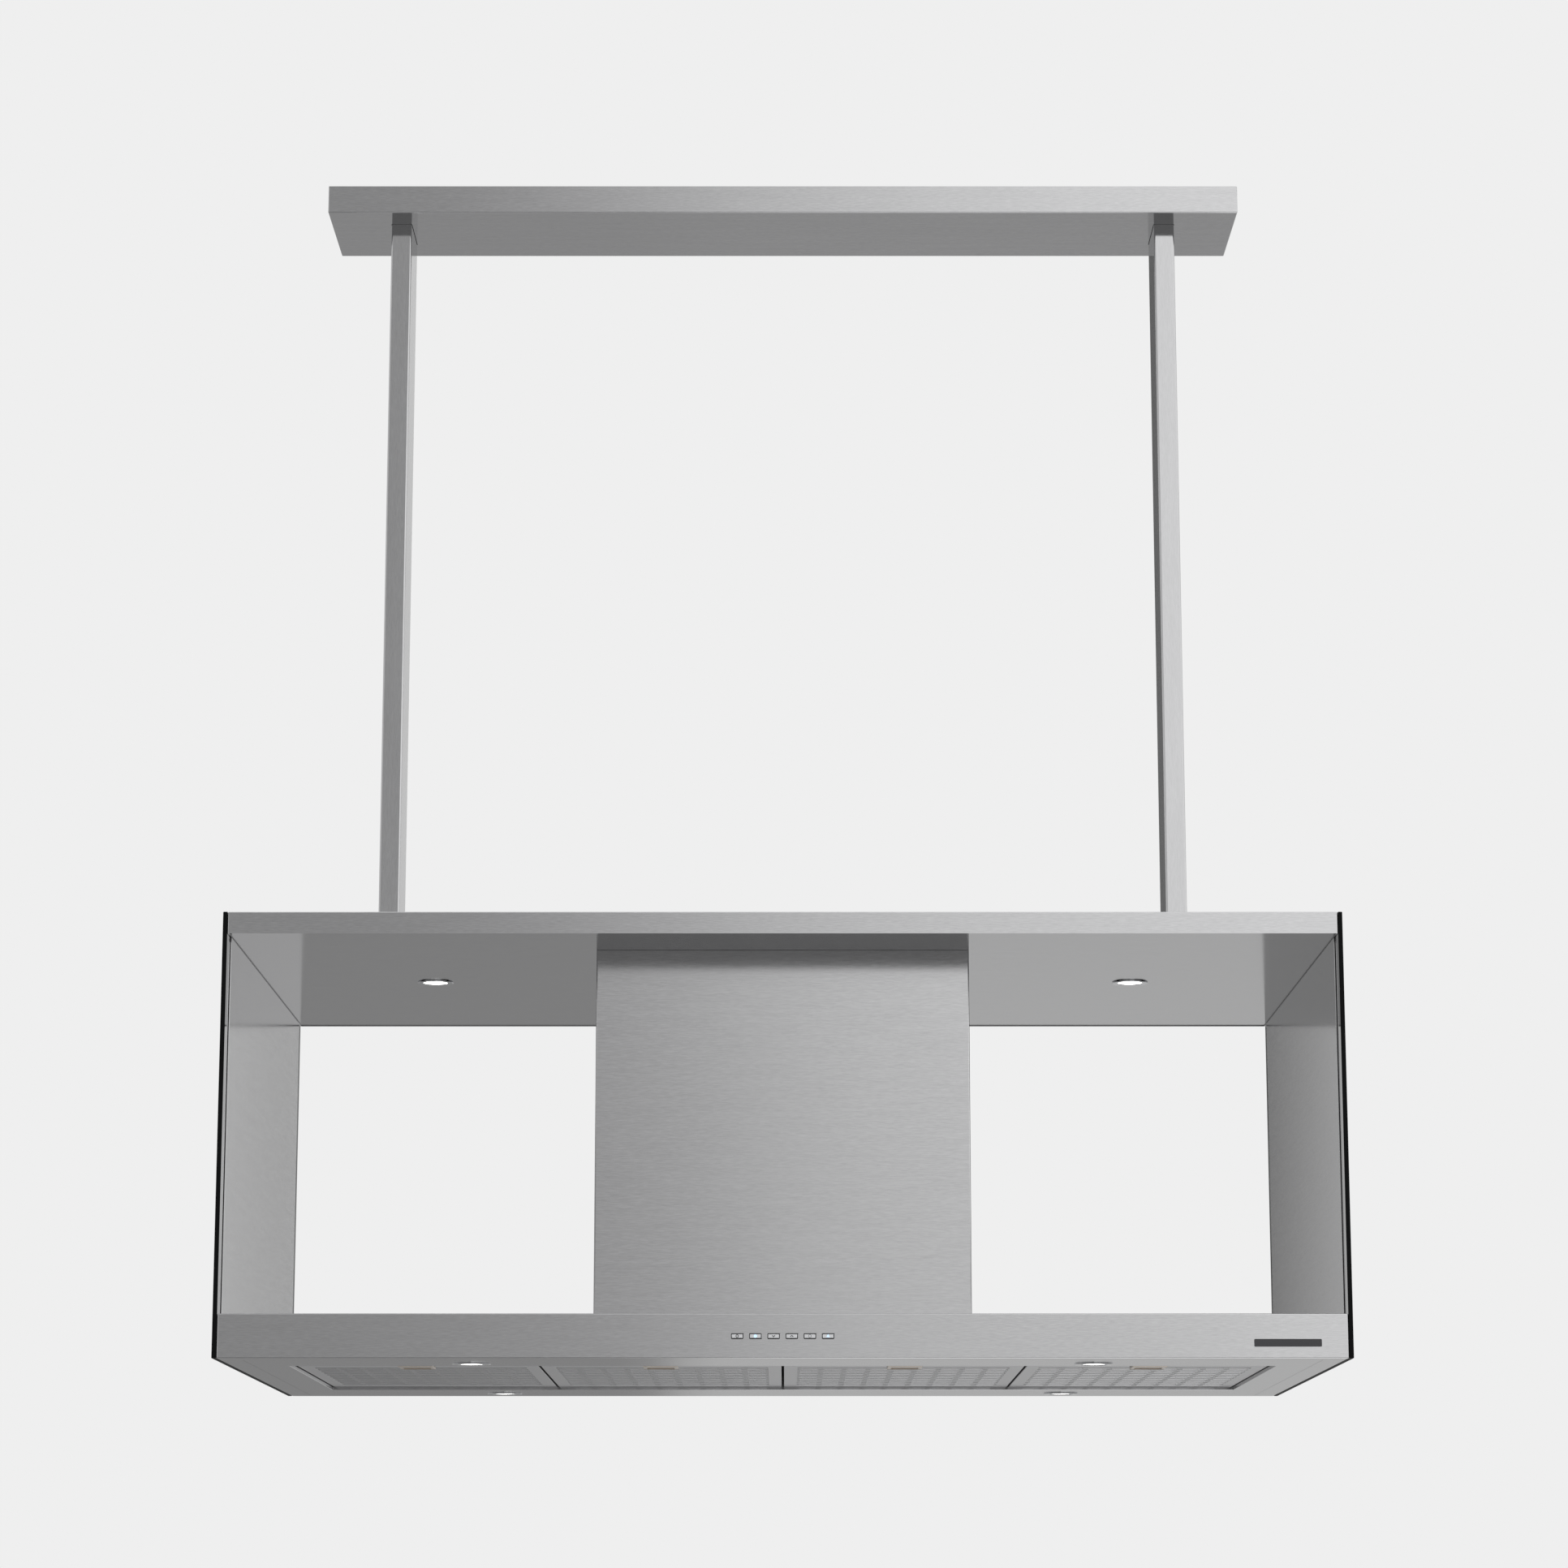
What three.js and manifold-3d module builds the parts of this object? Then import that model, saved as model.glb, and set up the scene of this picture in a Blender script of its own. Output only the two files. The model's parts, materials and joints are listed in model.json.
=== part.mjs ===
// Island range hood with two ceiling posts, a shelf, a central column and a flat canopy
// between two glass side panels. Recirculating: air goes up through the grease filters and
// the blower in the column, and leaves through a grille in the top of the shelf.
// Millimetres, X to the right, Y to the back, Z up.
// Origin: centre of the top face of the ceiling bracket, where the ceiling is.

import * as THREE from 'three';
import { mergeVertices } from 'three/addons/utils/BufferGeometryUtils.js';
import Module from 'manifold-3d';

const wasm = await Module();
wasm.setup();

// Driving dimensions
const WIDTH = 1200;
const DEPTH = 700;
const SHEET = 1.2;
const GAP = 0.3;

const COVER = { width: 1070, depth: 160, height: 32.5 };
const BRACKET_PLATE = 3;
const POST = { x: 452, width: 24, depth: 75, wall: 1.5, corner: 2 };
const FLANGE = { width: 70, depth: 120, plate: 4, tongue: 32 };

const SHELF_TOP = -913;
const SHELF_BOTTOM = -936.5;
const SHELF_FRAME = 10;
const CANOPY_TOP = -1341.6;
const CANOPY_BOTTOM = -1388.5;
const GLASS = { thickness: 5, bevel: 0.5 };
const LINER_SETBACK = 27;

const COLUMN = { width: 409, depth: 462 };

const RECESS = { width: 1065, depth: 446, collar: 14 };
const PAN = { halfWidth: 570.2, front: -324.7, back: 334.7 };
const FILTER_COUNT = 4;
const FILTER = { width: 263.5, depth: 444, height: 12, faceHeight: 4, slots: 11, slotPitch: 30 };
const SLOT = { width: 234, length: 15, firstY: -120 };
const LATCH = { width: 38, length: 48, y: -171, travel: 8 };

const LAMP = { ring: 20.5, can: 16.5, bore: 14, height: 14, lip: 1.2 };
const SHELF_LAMPS = [[-400, 0], [400, 0]];
const CANOPY_LAMPS = [[-333, -262], [333, -262], [-333, 290], [333, 290]];

const BUTTON = { count: 6, pitch: 19.1, width: 12.4, height: 5.5, up: 23.1, proud: 1.5 };
const BADGE = { x: 531, up: 16.2, width: 71, height: 8, thickness: 0.8 };

const BLOWER = { y: -70, z: -1130, halfWidth: 95, inlet: 80, outer: 155, cutoff: 108, tongue: 40 };
const IMPELLER = { radius: 95, inner: 80, halfWidth: 84, blades: 18, shaft: 6 };
const MOTOR = { radius: 42, back: -90.7, front: -8 };
const CASSETTE = { radius: 100, thickness: 40 };
const OUTLET = { width: 236, depth: 192 };

// Places worked out from the driving dimensions
const HALF_STEEL = WIDTH / 2 - GLASS.thickness - GAP;
const BAY_TOP = SHELF_BOTTOM - GAP;
const BAY_BOTTOM = CANOPY_TOP + GAP;
const PAN_UNDERSIDE = SHELF_BOTTOM + 1;
const PAN_TOP = PAN_UNDERSIDE + SHEET;
const POST_TOP = -BRACKET_PLATE - FLANGE.plate - 2 * GAP;
const FRAME_TOP = PAN_TOP + GAP + SHELF_FRAME;
const FOOT_PLATE = 3;
const POST_BOTTOM = FRAME_TOP + FOOT_PLATE + 2 * GAP;
const FILTER_FACE = CANOPY_BOTTOM + FILTER.faceHeight;
const FILTER_PITCH = RECESS.width / FILTER_COUNT;
const BLOWER_OUTLET_TOP = PAN_TOP;

// Shapes and joins

function slab(x0, x1, y0, y1, z0, z1) {
  const geometry = new THREE.BoxGeometry(x1 - x0, y1 - y0, z1 - z0);
  return geometry.translate((x0 + x1) / 2, (y0 + y1) / 2, (z0 + z1) / 2);
}

// A box centred on X and Y
function block(width, depth, z0, z1, x = 0, y = 0) {
  return slab(x - width / 2, x + width / 2, y - depth / 2, y + depth / 2, z0, z1);
}

// Corners go round anticlockwise from the lower right, each an arc where corner isn't 0
function rectangle(path, width, depth, x = 0, y = 0, corner = 0) {
  [[1, -1], [1, 1], [-1, 1], [-1, -1]].forEach(([sideX, sideY], i) => {
    const cornerX = x + sideX * (width / 2 - corner);
    const cornerY = y + sideY * (depth / 2 - corner);
    const start = ((i - 1) * Math.PI) / 2;
    if (corner) path.absarc(cornerX, cornerY, corner, start, start + Math.PI / 2);
    else if (i === 0) path.moveTo(cornerX, cornerY);
    else path.lineTo(cornerX, cornerY);
  });
  path.closePath();
  return path;
}

function circle(path, radius, x, y) {
  path.absarc(x, y, radius, 0, 2 * Math.PI);
  return path;
}

function extrude(outline, z0, z1, curveSegments) {
  const options = { depth: z1 - z0, bevelEnabled: false, curveSegments };
  return new THREE.ExtrudeGeometry(outline, options).translate(0, 0, z0);
}

// A flat plate from z0 to z1, with each hole cut right through it
function plate(outline, holes, z0, z1, curveSegments = 4) {
  const tools = holes.map((hole) => extrude(
    new THREE.Shape(hole.getPoints(curveSegments)), z0 - 1, z1 + 1, curveSegments));
  return cut(extrude(outline, z0, z1, curveSegments), ...tools);
}

// A disc or ring about the X axis; the profile is a list of [radius, x]
function turned(profile, segments) {
  const points = profile.map(([radius, x]) => new THREE.Vector2(radius, x));
  return new THREE.LatheGeometry(points, segments).rotateZ(-Math.PI / 2);
}

// A disc or ring about the Z axis; the profile is a list of [radius, z]
function lathed(profile, segments) {
  const points = profile.map(([radius, z]) => new THREE.Vector2(radius, z));
  return new THREE.LatheGeometry(points, segments).rotateX(Math.PI / 2);
}

// A rod about the X axis
function rod(radius, x0, x1, segments) {
  const geometry = new THREE.CylinderGeometry(radius, radius, x1 - x0, segments);
  return geometry.rotateZ(-Math.PI / 2).translate((x0 + x1) / 2, 0, 0);
}

function toSolid(geometry) {
  const bare = geometry.clone();
  bare.deleteAttribute('normal');
  bare.deleteAttribute('uv');
  const merged = mergeVertices(bare, 1e-4);
  const mesh = new wasm.Mesh({
    numProp: 3,
    vertProperties: new Float32Array(merged.attributes.position.array),
    triVerts: new Uint32Array(merged.index.array),
  });
  return new wasm.Manifold(mesh);
}

function toGeometry(solid) {
  const mesh = solid.getMesh();
  const geometry = new THREE.BufferGeometry();
  geometry.setAttribute('position', new THREE.BufferAttribute(mesh.vertProperties, 3));
  geometry.setIndex(new THREE.BufferAttribute(mesh.triVerts, 1));
  geometry.computeVertexNormals();
  return geometry;
}

function cut(geometry, ...tools) {
  let solid = toSolid(geometry);
  for (const tool of tools) solid = solid.subtract(toSolid(tool));
  return toGeometry(solid);
}

function join(geometry, ...others) {
  let solid = toSolid(geometry);
  for (const other of others) solid = solid.add(toSolid(other));
  return toGeometry(solid);
}

// A line with rounded bends through its corners: one step per straight and four per bend
class RoundedRoute extends THREE.Curve {
  constructor(corners, radius) {
    super();
    this.stops = [corners[0]];
    for (let i = 1; i < corners.length - 1; i += 1) this.addBend(corners, i, radius);
    this.stops.push(corners[corners.length - 1]);
  }

  addBend(corners, i, radius) {
    const back = corners[i - 1].clone().sub(corners[i]).normalize();
    const ahead = corners[i + 1].clone().sub(corners[i]).normalize();
    const reach = radius / Math.tan(back.angleTo(ahead) / 2);
    const start = corners[i].clone().addScaledVector(back, reach);
    const end = corners[i].clone().addScaledVector(ahead, reach);
    const centre = corners[i].clone().addScaledVector(
      back.clone().add(ahead).normalize(), Math.hypot(reach, radius));
    for (let step = 0; step <= 4; step += 1) {
      const spoke = start.clone().lerp(end, step / 4).sub(centre).setLength(radius);
      this.stops.push(spoke.add(centre));
    }
  }

  getUtoTmapping(u) {
    return u;
  }

  getPoint(t, target = new THREE.Vector3()) {
    const place = Math.min(Math.max(t, 0), 1) * (this.stops.length - 1);
    const index = Math.min(Math.floor(place), this.stops.length - 2);
    return target.copy(this.stops[index]).lerp(this.stops[index + 1], place - index);
  }
}

// Ceiling parts

function ceilingBracket() {
  const width = COVER.width - 2 * (SHEET + GAP);
  const depth = COVER.depth - 2 * (SHEET + GAP);
  const holes = [circle(new THREE.Path(), 15, -200, 0)];
  for (const x of [-500, -150, 150, 500]) {
    for (const y of [-50, 50]) holes.push(circle(new THREE.Path(), 5, x, y));
  }
  const top = plate(rectangle(new THREE.Shape(), width, depth), holes, -BRACKET_PLATE, 0);
  const flanges = [-1, 1].map((side) => block(1040, 2, -22, -1, 0, side * (depth / 2 - 1)));
  return join(top, ...flanges);
}

function ceilingCover() {
  const { width, depth, height } = COVER;
  const outer = block(width, depth, -height, 0);
  const inner = block(width - 2 * SHEET, depth - 2 * SHEET, SHEET - height, 1);
  const holes = [-1, 1].map((side) => block(
    POST.width + 0.8, POST.depth + 0.8, -height - 1, 1, side * POST.x));
  return cut(outer, inner, ...holes);
}

function terminalBox() {
  const body = block(90, 60, -27.3, -BRACKET_PLATE - GAP);
  const mouth = slab(-46, -40, -5, 5, -23, -13);
  return cut(body, mouth);
}

// Posts and their flanges, about the post's own axis

function post() {
  const { width, depth, wall, corner } = POST;
  const hollow = rectangle(new THREE.Path(), width - 2 * wall, depth - 2 * wall);
  const outline = rectangle(new THREE.Shape(), width, depth, 0, 0, corner);
  const tube = plate(outline, [hollow], POST_BOTTOM, POST_TOP, 2);
  const cableIn = slab(5, width, -8, 8, -26, 0);
  const cableOut = slab(5, width, -8, 8, POST_BOTTOM - 1, SHELF_TOP - SHEET - GAP);
  return cut(tube, cableIn, cableOut);
}

// The plate of a post flange has four bolt holes and a hole for the cable
function flangePlate(z0, z1) {
  const holes = [rectangle(new THREE.Path(), 14, 30)];
  for (const x of [-26, 26]) {
    for (const y of [-48, 48]) holes.push(circle(new THREE.Path(), 3.5, x, y));
  }
  const outline = rectangle(new THREE.Shape(), FLANGE.width, FLANGE.depth);
  return plate(outline, holes, z0, z1);
}

// Two tongues inside the tube's ends
function tongues(z0, z1) {
  const width = POST.width - 2 * (POST.wall + GAP);
  const outerY = POST.depth / 2 - POST.wall - GAP;
  return [-1, 1].map((side) => block(width, 8, z0, z1, 0, side * (outerY - 4)));
}

function postTopFlange() {
  const top = -BRACKET_PLATE - GAP;
  const under = top - FLANGE.plate;
  return join(flangePlate(under, top), ...tongues(under - FLANGE.tongue, under + 1));
}

function postFoot() {
  const bottom = FRAME_TOP + GAP;
  const top = bottom + FOOT_PLATE;
  return join(flangePlate(bottom, top), ...tongues(top - 1, top + FLANGE.tongue));
}

// Shelf

function shelfShell() {
  const outer = block(2 * HALF_STEEL, DEPTH, SHELF_BOTTOM, SHELF_TOP);
  const inner = block(
    2 * (HALF_STEEL - SHEET), DEPTH - 2 * SHEET, SHELF_BOTTOM - 1, SHELF_TOP - SHEET);
  const posts = [-1, 1].map((side) => block(
    POST.width + 0.8, POST.depth + 0.8, SHELF_BOTTOM, SHELF_TOP + 1, side * POST.x));
  const outlet = block(OUTLET.width, OUTLET.depth, SHELF_BOTTOM, SHELF_TOP + 1);
  return cut(outer, inner, ...posts, outlet);
}

function blowerOutletHole(margin) {
  const width = 2 * (BLOWER.halfWidth + margin);
  const y0 = BLOWER.y + BLOWER.tongue - margin;
  const y1 = BLOWER.y + BLOWER.outer + margin;
  return rectangle(new THREE.Path(), width, y1 - y0, 0, (y0 + y1) / 2);
}

function shelfUndersidePan() {
  const width = 2 * (HALF_STEEL - SHEET - GAP);
  const depth = DEPTH - 2 * (SHEET + GAP);
  const holes = SHELF_LAMPS.map(([x, y]) => circle(new THREE.Path(), LAMP.can + 0.8, x, y));
  holes.push(blowerOutletHole(0.5), circle(new THREE.Path(), 5, -185, 205));
  return plate(rectangle(new THREE.Shape(), width, depth), holes, PAN_UNDERSIDE, PAN_TOP, 10);
}

// A ladder frame: cross members under the posts and on both sides of the outlet
function shelfFrame() {
  const halfDepth = 320;
  const bays = [[-570, -467], [-437, -180], [-160, 160], [180, 437], [467, 570]];
  const holes = bays.map(([x0, x1]) => rectangle(
    new THREE.Path(), x1 - x0, 2 * halfDepth, (x0 + x1) / 2));
  const outline = rectangle(new THREE.Shape(), 1180, 2 * halfDepth + 40);
  return plate(outline, holes, PAN_TOP + GAP, FRAME_TOP);
}

function outletPlenum() {
  const [bottom, top] = [PAN_TOP + GAP, SHELF_TOP - SHEET - GAP];
  const outer = block(OUTLET.width + 14, OUTLET.depth + 18, bottom, top);
  const inner = block(
    OUTLET.width + 14 - 2 * SHEET, OUTLET.depth + 18 - 2 * SHEET, bottom + SHEET, top + 1);
  const width = 2 * (BLOWER.halfWidth - SHEET);
  const [y0, y1] = [BLOWER.y + BLOWER.tongue + SHEET, BLOWER.y + BLOWER.outer - SHEET];
  const inlet = slab(-width / 2, width / 2, y0, y1, bottom - 1, top);
  return cut(outer, inner, inlet);
}

function outletGrille() {
  const holes = [];
  for (let y = -81; y <= 81; y += 18) {
    for (const x of [-56, 56]) holes.push(rectangle(new THREE.Path(), 100, 9, x, y));
  }
  const outline = rectangle(new THREE.Shape(), OUTLET.width + 24, OUTLET.depth + 24, 0, 0, 4);
  return plate(outline, holes, SHELF_TOP + GAP, SHELF_TOP + GAP + 1.5, 2);
}

// Sides

function glassPanel() {
  const { thickness, bevel } = GLASS;
  const height = SHELF_TOP - CANOPY_BOTTOM;
  const outline = rectangle(new THREE.Shape(), DEPTH - 2 * bevel, height - 2 * bevel);
  const geometry = new THREE.ExtrudeGeometry(outline, {
    depth: thickness - 2 * bevel, bevelSegments: 1, bevelSize: bevel, bevelThickness: bevel,
  });
  geometry.translate(0, 0, bevel - thickness / 2);
  geometry.applyMatrix4(new THREE.Matrix4().makeBasis(
    new THREE.Vector3(0, 1, 0), new THREE.Vector3(0, 0, 1), new THREE.Vector3(1, 0, 0)));
  return geometry.translate(0, 0, (SHELF_TOP + CANOPY_BOTTOM) / 2);
}

function sideLiner() {
  return block(SHEET, DEPTH - 2 * LINER_SETBACK, BAY_BOTTOM, BAY_TOP);
}

// Column: two U-shaped covers that meet at the middle of the column's sides

function columnCover() {
  const { width, depth } = COLUMN;
  const outer = slab(-width / 2, width / 2, -depth / 2, -GAP, BAY_BOTTOM, BAY_TOP);
  const inner = slab(
    SHEET - width / 2, width / 2 - SHEET, SHEET - depth / 2, 1, BAY_BOTTOM - 1, BAY_TOP + 1);
  return cut(outer, inner);
}

// Blower, about the impeller's axis along X

// The scroll's outline in the Y-Z plane, moved inwards by the wall's thickness
function scrollOutline(wall, top) {
  const outline = new THREE.Shape();
  outline.moveTo(BLOWER.outer - wall, top);
  const steps = 20;
  const sweep = (300 * Math.PI) / 180;
  for (let i = 0; i < steps; i += 1) {
    const radius = THREE.MathUtils.lerp(BLOWER.outer, BLOWER.cutoff, i / steps) - wall;
    const angle = (-sweep * i) / steps;
    outline.lineTo(radius * Math.cos(angle), radius * Math.sin(angle));
  }
  const tip = wall ? [56, 92] : [54, 93.5];
  outline.lineTo(...tip);
  outline.lineTo(BLOWER.tongue + wall, 118 + wall);
  outline.lineTo(BLOWER.tongue + wall, top);
  outline.closePath();
  return outline;
}

function scrollBlock(wall, halfWidth, top) {
  const geometry = new THREE.ExtrudeGeometry(
    scrollOutline(wall, top), { depth: 2 * halfWidth, bevelEnabled: false });
  geometry.translate(0, 0, -halfWidth);
  return geometry.applyMatrix4(new THREE.Matrix4().makeBasis(
    new THREE.Vector3(0, 1, 0), new THREE.Vector3(0, 0, 1), new THREE.Vector3(1, 0, 0)));
}

function blowerHousing() {
  const top = BLOWER_OUTLET_TOP - BLOWER.z;
  const outer = scrollBlock(0, BLOWER.halfWidth, top);
  const inner = scrollBlock(SHEET, BLOWER.halfWidth - SHEET, top + 1);
  return cut(outer, inner, rod(BLOWER.inlet, -100, 100, 24));
}

// A spider: a ring inside the housing's left side, three arms and a disc behind the motor
function motorBracket() {
  const [x0, x1] = [SHEET + GAP - BLOWER.halfWidth, MOTOR.back - GAP];
  const ring = turned([[84, x0], [92, x0], [92, x1], [84, x1], [84, x0]], 24);
  const disc = rod(30, x0, x1, 20);
  const arms = [0, 1, 2].map((i) => slab(x0, x1, -7, 7, 20, 88).rotateX((i * 2 * Math.PI) / 3));
  return join(ring, disc, ...arms);
}

function motor() {
  const { radius, back, front } = MOTOR;
  return turned([
    [0, back], [radius - 8, back], [radius, back + 8], [radius, front - 10],
    [radius - 10, front], [0, front],
  ], 20);
}

function impeller() {
  const { radius, inner, halfWidth, blades } = IMPELLER;
  const rims = [-1, 1].map((side) => {
    const [x0, x1] = side < 0 ? [-halfWidth, 3 - halfWidth] : [halfWidth - 3, halfWidth];
    return turned([[inner, x0], [radius, x0], [radius, x1], [inner, x1], [inner, x0]], 24);
  });
  const bore = IMPELLER.shaft + GAP;
  const disc = turned(
    [[bore, 1], [radius - 1, 1], [radius - 1, 4], [15, 4], [15, 22], [bore, 22], [bore, 1]], 24);
  const vanes = [];
  for (let i = 0; i < blades; i += 1) {
    const vane = slab(1 - halfWidth, halfWidth - 1, -1, 1, -6, 6);
    vane.rotateX(0.6).translate(0, 0, (inner + radius) / 2 - 0.5);
    vanes.push(vane.rotateX((i * 2 * Math.PI) / blades));
  }
  return join(disc, ...rims, ...vanes);
}

function impellerShaft() {
  return rod(IMPELLER.shaft, MOTOR.front + GAP, 26, 16);
}

// A round carbon cassette with a grip boss, lying against the housing's right side
function charcoalFilter() {
  const { radius, thickness } = CASSETTE;
  const near = BLOWER.halfWidth + GAP;
  const far = near + thickness;
  return turned([
    [0, near], [radius, near], [radius, far - 6], [radius - 6, far], [26, far],
    [22, far - 8], [0, far - 8],
  ], 24);
}

// Canopy

function canopyShell() {
  const outer = block(2 * HALF_STEEL, DEPTH, CANOPY_BOTTOM, CANOPY_TOP);
  const inner = block(
    2 * (HALF_STEEL - SHEET), DEPTH - 2 * SHEET, CANOPY_BOTTOM + SHEET, CANOPY_TOP - SHEET);
  const below = slab(
    -PAN.halfWidth - GAP, PAN.halfWidth + GAP, PAN.front - GAP, PAN.back + GAP,
    CANOPY_BOTTOM - 1, CANOPY_TOP - 10);
  const above = block(380, 430, CANOPY_TOP - 10, CANOPY_TOP + 1);
  const buttonHoles = [];
  for (let i = 0; i < BUTTON.count; i += 1) {
    const z = CANOPY_BOTTOM + BUTTON.up;
    buttonHoles.push(slab(
      buttonX(i) - BUTTON.width / 2 - GAP, buttonX(i) + BUTTON.width / 2 + GAP,
      -DEPTH / 2 - 1, -DEPTH / 2 + 5,
      z - BUTTON.height / 2 - GAP, z + BUTTON.height / 2 + GAP));
  }
  return cut(outer, inner, below, above, ...buttonHoles);
}

function canopyUndersidePan() {
  const sheetTop = CANOPY_BOTTOM + SHEET;
  const width = 2 * PAN.halfWidth;
  const outline = rectangle(
    new THREE.Shape(), width, PAN.back - PAN.front, 0, (PAN.back + PAN.front) / 2);
  const holes = CANOPY_LAMPS.map(([x, y]) => circle(new THREE.Path(), LAMP.can + 0.8, x, y));
  const recess = rectangle(new THREE.Path(), RECESS.width, RECESS.depth);
  const flat = plate(outline, [...holes, recess], CANOPY_BOTTOM, sheetTop, 10);
  const collar = plate(
    rectangle(new THREE.Shape(), RECESS.width + 2 * SHEET, RECESS.depth + 2 * SHEET),
    [rectangle(new THREE.Path(), RECESS.width, RECESS.depth)],
    CANOPY_BOTTOM, CANOPY_BOTTOM + RECESS.collar);
  const latchMouths = [];
  for (let i = 0; i < FILTER_COUNT; i += 1) {
    latchMouths.push(block(
      26, 10, FILTER_FACE + 3, FILTER_FACE + 9, filterX(i), -RECESS.depth / 2 - 2));
  }
  return cut(join(flat, collar), ...latchMouths);
}

// Grease filter about its own centre line in X: a slotted face inside a folded frame

function greaseFilter() {
  const { width, depth, height, slots, slotPitch } = FILTER;
  const holes = [rectangle(new THREE.Path(), 12.8, 26, 0, LATCH.y - 4)];
  for (let i = 0; i < slots; i += 1) {
    const y = SLOT.firstY + i * slotPitch;
    holes.push(rectangle(new THREE.Path(), SLOT.width, SLOT.length, 0, y));
  }
  const outline = rectangle(new THREE.Shape(), width, depth);
  const face = plate(outline, holes, FILTER_FACE, FILTER_FACE + SHEET);
  const walls = plate(
    rectangle(new THREE.Shape(), width, depth),
    [rectangle(new THREE.Path(), width - 2 * SHEET, depth - 2 * SHEET)],
    FILTER_FACE, FILTER_FACE + height);
  const tongueMouth = block(24, 10, FILTER_FACE + 3.2, FILTER_FACE + 8, 0, -depth / 2);
  return cut(join(face, walls), tongueMouth);
}

// Sliding latch: a thumb plate under the filter, a stem through its slot and a tongue
function filterLatch() {
  const top = FILTER_FACE - GAP;
  const thumb = block(LATCH.width, LATCH.length, top - 2.7, top, 0, LATCH.y);
  const hollow = block(LATCH.width - 8, LATCH.length - 26, top - 3, top - 1.2, 0, LATCH.y + 7);
  const stem = block(12, 16, top - 1, FILTER_FACE + 5, 0, LATCH.y - 8);
  const tongue = slab(
    -11, 11, -FILTER.depth / 2 - GAP, LATCH.y, FILTER_FACE + 3.6, FILTER_FACE + 7.4);
  return join(cut(thumb, hollow), stem, tongue);
}

// Lamps about their own axis, with the seat's underside at z = 0

function lampHousing() {
  const { ring, can, bore, height, lip } = LAMP;
  return lathed([
    [0, 6], [bore, 6], [bore, -GAP - lip], [ring - 0.6, -GAP - lip],
    [ring, -GAP - 0.5], [ring, -GAP], [can, -GAP], [can, height - 2], [can - 3, height],
    [0, height],
  ], 20);
}

function lampLens() {
  const radius = LAMP.bore - GAP;
  return lathed([[0, -0.7], [radius - 1, -0.7], [radius, 0.2], [radius, 2], [0, 2]], 20);
}

// Controls

function buttonX(i) {
  return (i - (BUTTON.count - 1) / 2) * BUTTON.pitch;
}

function filterX(i) {
  return (i - (FILTER_COUNT - 1) / 2) * FILTER_PITCH;
}

// A push button: its cap goes through the front wall, a collar behind keeps it in
function pushButton() {
  const { width, height, proud } = BUTTON;
  const cap = slab(
    -width / 2, width / 2, -DEPTH / 2 - proud, -DEPTH / 2 + 2, -height / 2, height / 2);
  const inside = SHEET + 0.4 - DEPTH / 2;
  const collar = slab(-7.8, 7.8, inside, inside + 1.2, -4, 4);
  const stem = slab(-2, 2, inside + 1, inside + 2.4, -2, 2);
  return join(cap, collar, stem);
}

function controlBoard() {
  const front = 9 - DEPTH / 2;
  const board = slab(-75, 75, front, front + 1.6, CANOPY_BOTTOM + 10, CANOPY_BOTTOM + 36);
  const z = CANOPY_BOTTOM + BUTTON.up;
  const switches = [];
  for (let i = 0; i < BUTTON.count; i += 1) {
    switches.push(slab(buttonX(i) - 3, buttonX(i) + 3, front - 3.2, front + 1, z - 3, z + 3));
  }
  const plug = slab(48, 66, front + 1, front + 9, z - 5, z + 5);
  return join(board, ...switches, plug);
}

function powerUnit() {
  const top = CANOPY_TOP - SHEET - GAP;
  const base = block(134, 60, top - 2, top);
  const body = block(110, 75, top - 31, top - 1);
  const cableMouth = slab(-56, -50, -5, 5, top - 21, top - 11);
  return cut(join(base, body), cableMouth);
}

function badge() {
  const outline = rectangle(new THREE.Shape(), BADGE.width, BADGE.height, 0, 0, 1);
  return plate(outline, [], 0, BADGE.thickness, 2).rotateX(Math.PI / 2);
}

// Mains lead held inside the hood, from the terminal box to the power unit
function internalHarness() {
  const corners = [
    [-326.5, 0, -18], [-POST.x, 0, -18], [-POST.x, 0, -917.4], [-300, 0, -917.4],
    [-185, 205, -917.4], [-185, 205, -1359], [-185, 282, -1359], [-145.4, 282, -1359],
  ].map((corner) => new THREE.Vector3(...corner));
  const route = new RoundedRoute(corners, 10);
  const section = circle(new THREE.Shape(), 2.5, 0, 0);
  return new THREE.ExtrudeGeometry(
    section, { steps: route.stops.length - 1, extrudePath: route, curveSegments: 8 });
}

// The assembly

const hood = new THREE.Group();

function add(name, geometry, finish, position = [0, 0, 0], turn = 0) {
  const mesh = new THREE.Mesh(geometry, new THREE.MeshStandardMaterial(finish));
  mesh.name = name;
  mesh.position.set(...position);
  mesh.rotation.z = turn;
  hood.add(mesh);
}

const STEEL = { color: '#b9b9b8', roughness: 0.28, metalness: 1 };
const DARK_GLASS = { color: '#0e0f11', roughness: 0.06, metalness: 0 };
const GALVANISED = { color: '#a3a8aa', roughness: 0.5, metalness: 1 };
const BLACK_PLASTIC = { color: '#222326', roughness: 0.55, metalness: 0 };
const DIFFUSER = { color: '#f6f5f2', roughness: 0.35, metalness: 0 };
const CHROME = { color: '#d6d7d8', roughness: 0.12, metalness: 1 };
const BUTTON_STEEL = { color: '#c4c5c6', roughness: 0.22, metalness: 1 };
const CARBON = { color: '#2b2b2c', roughness: 0.85, metalness: 0 };
const CIRCUIT_GREEN = { color: '#235a3c', roughness: 0.5, metalness: 0 };
const CABLE_GREY = { color: '#4a4b4d', roughness: 0.6, metalness: 0 };

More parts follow.
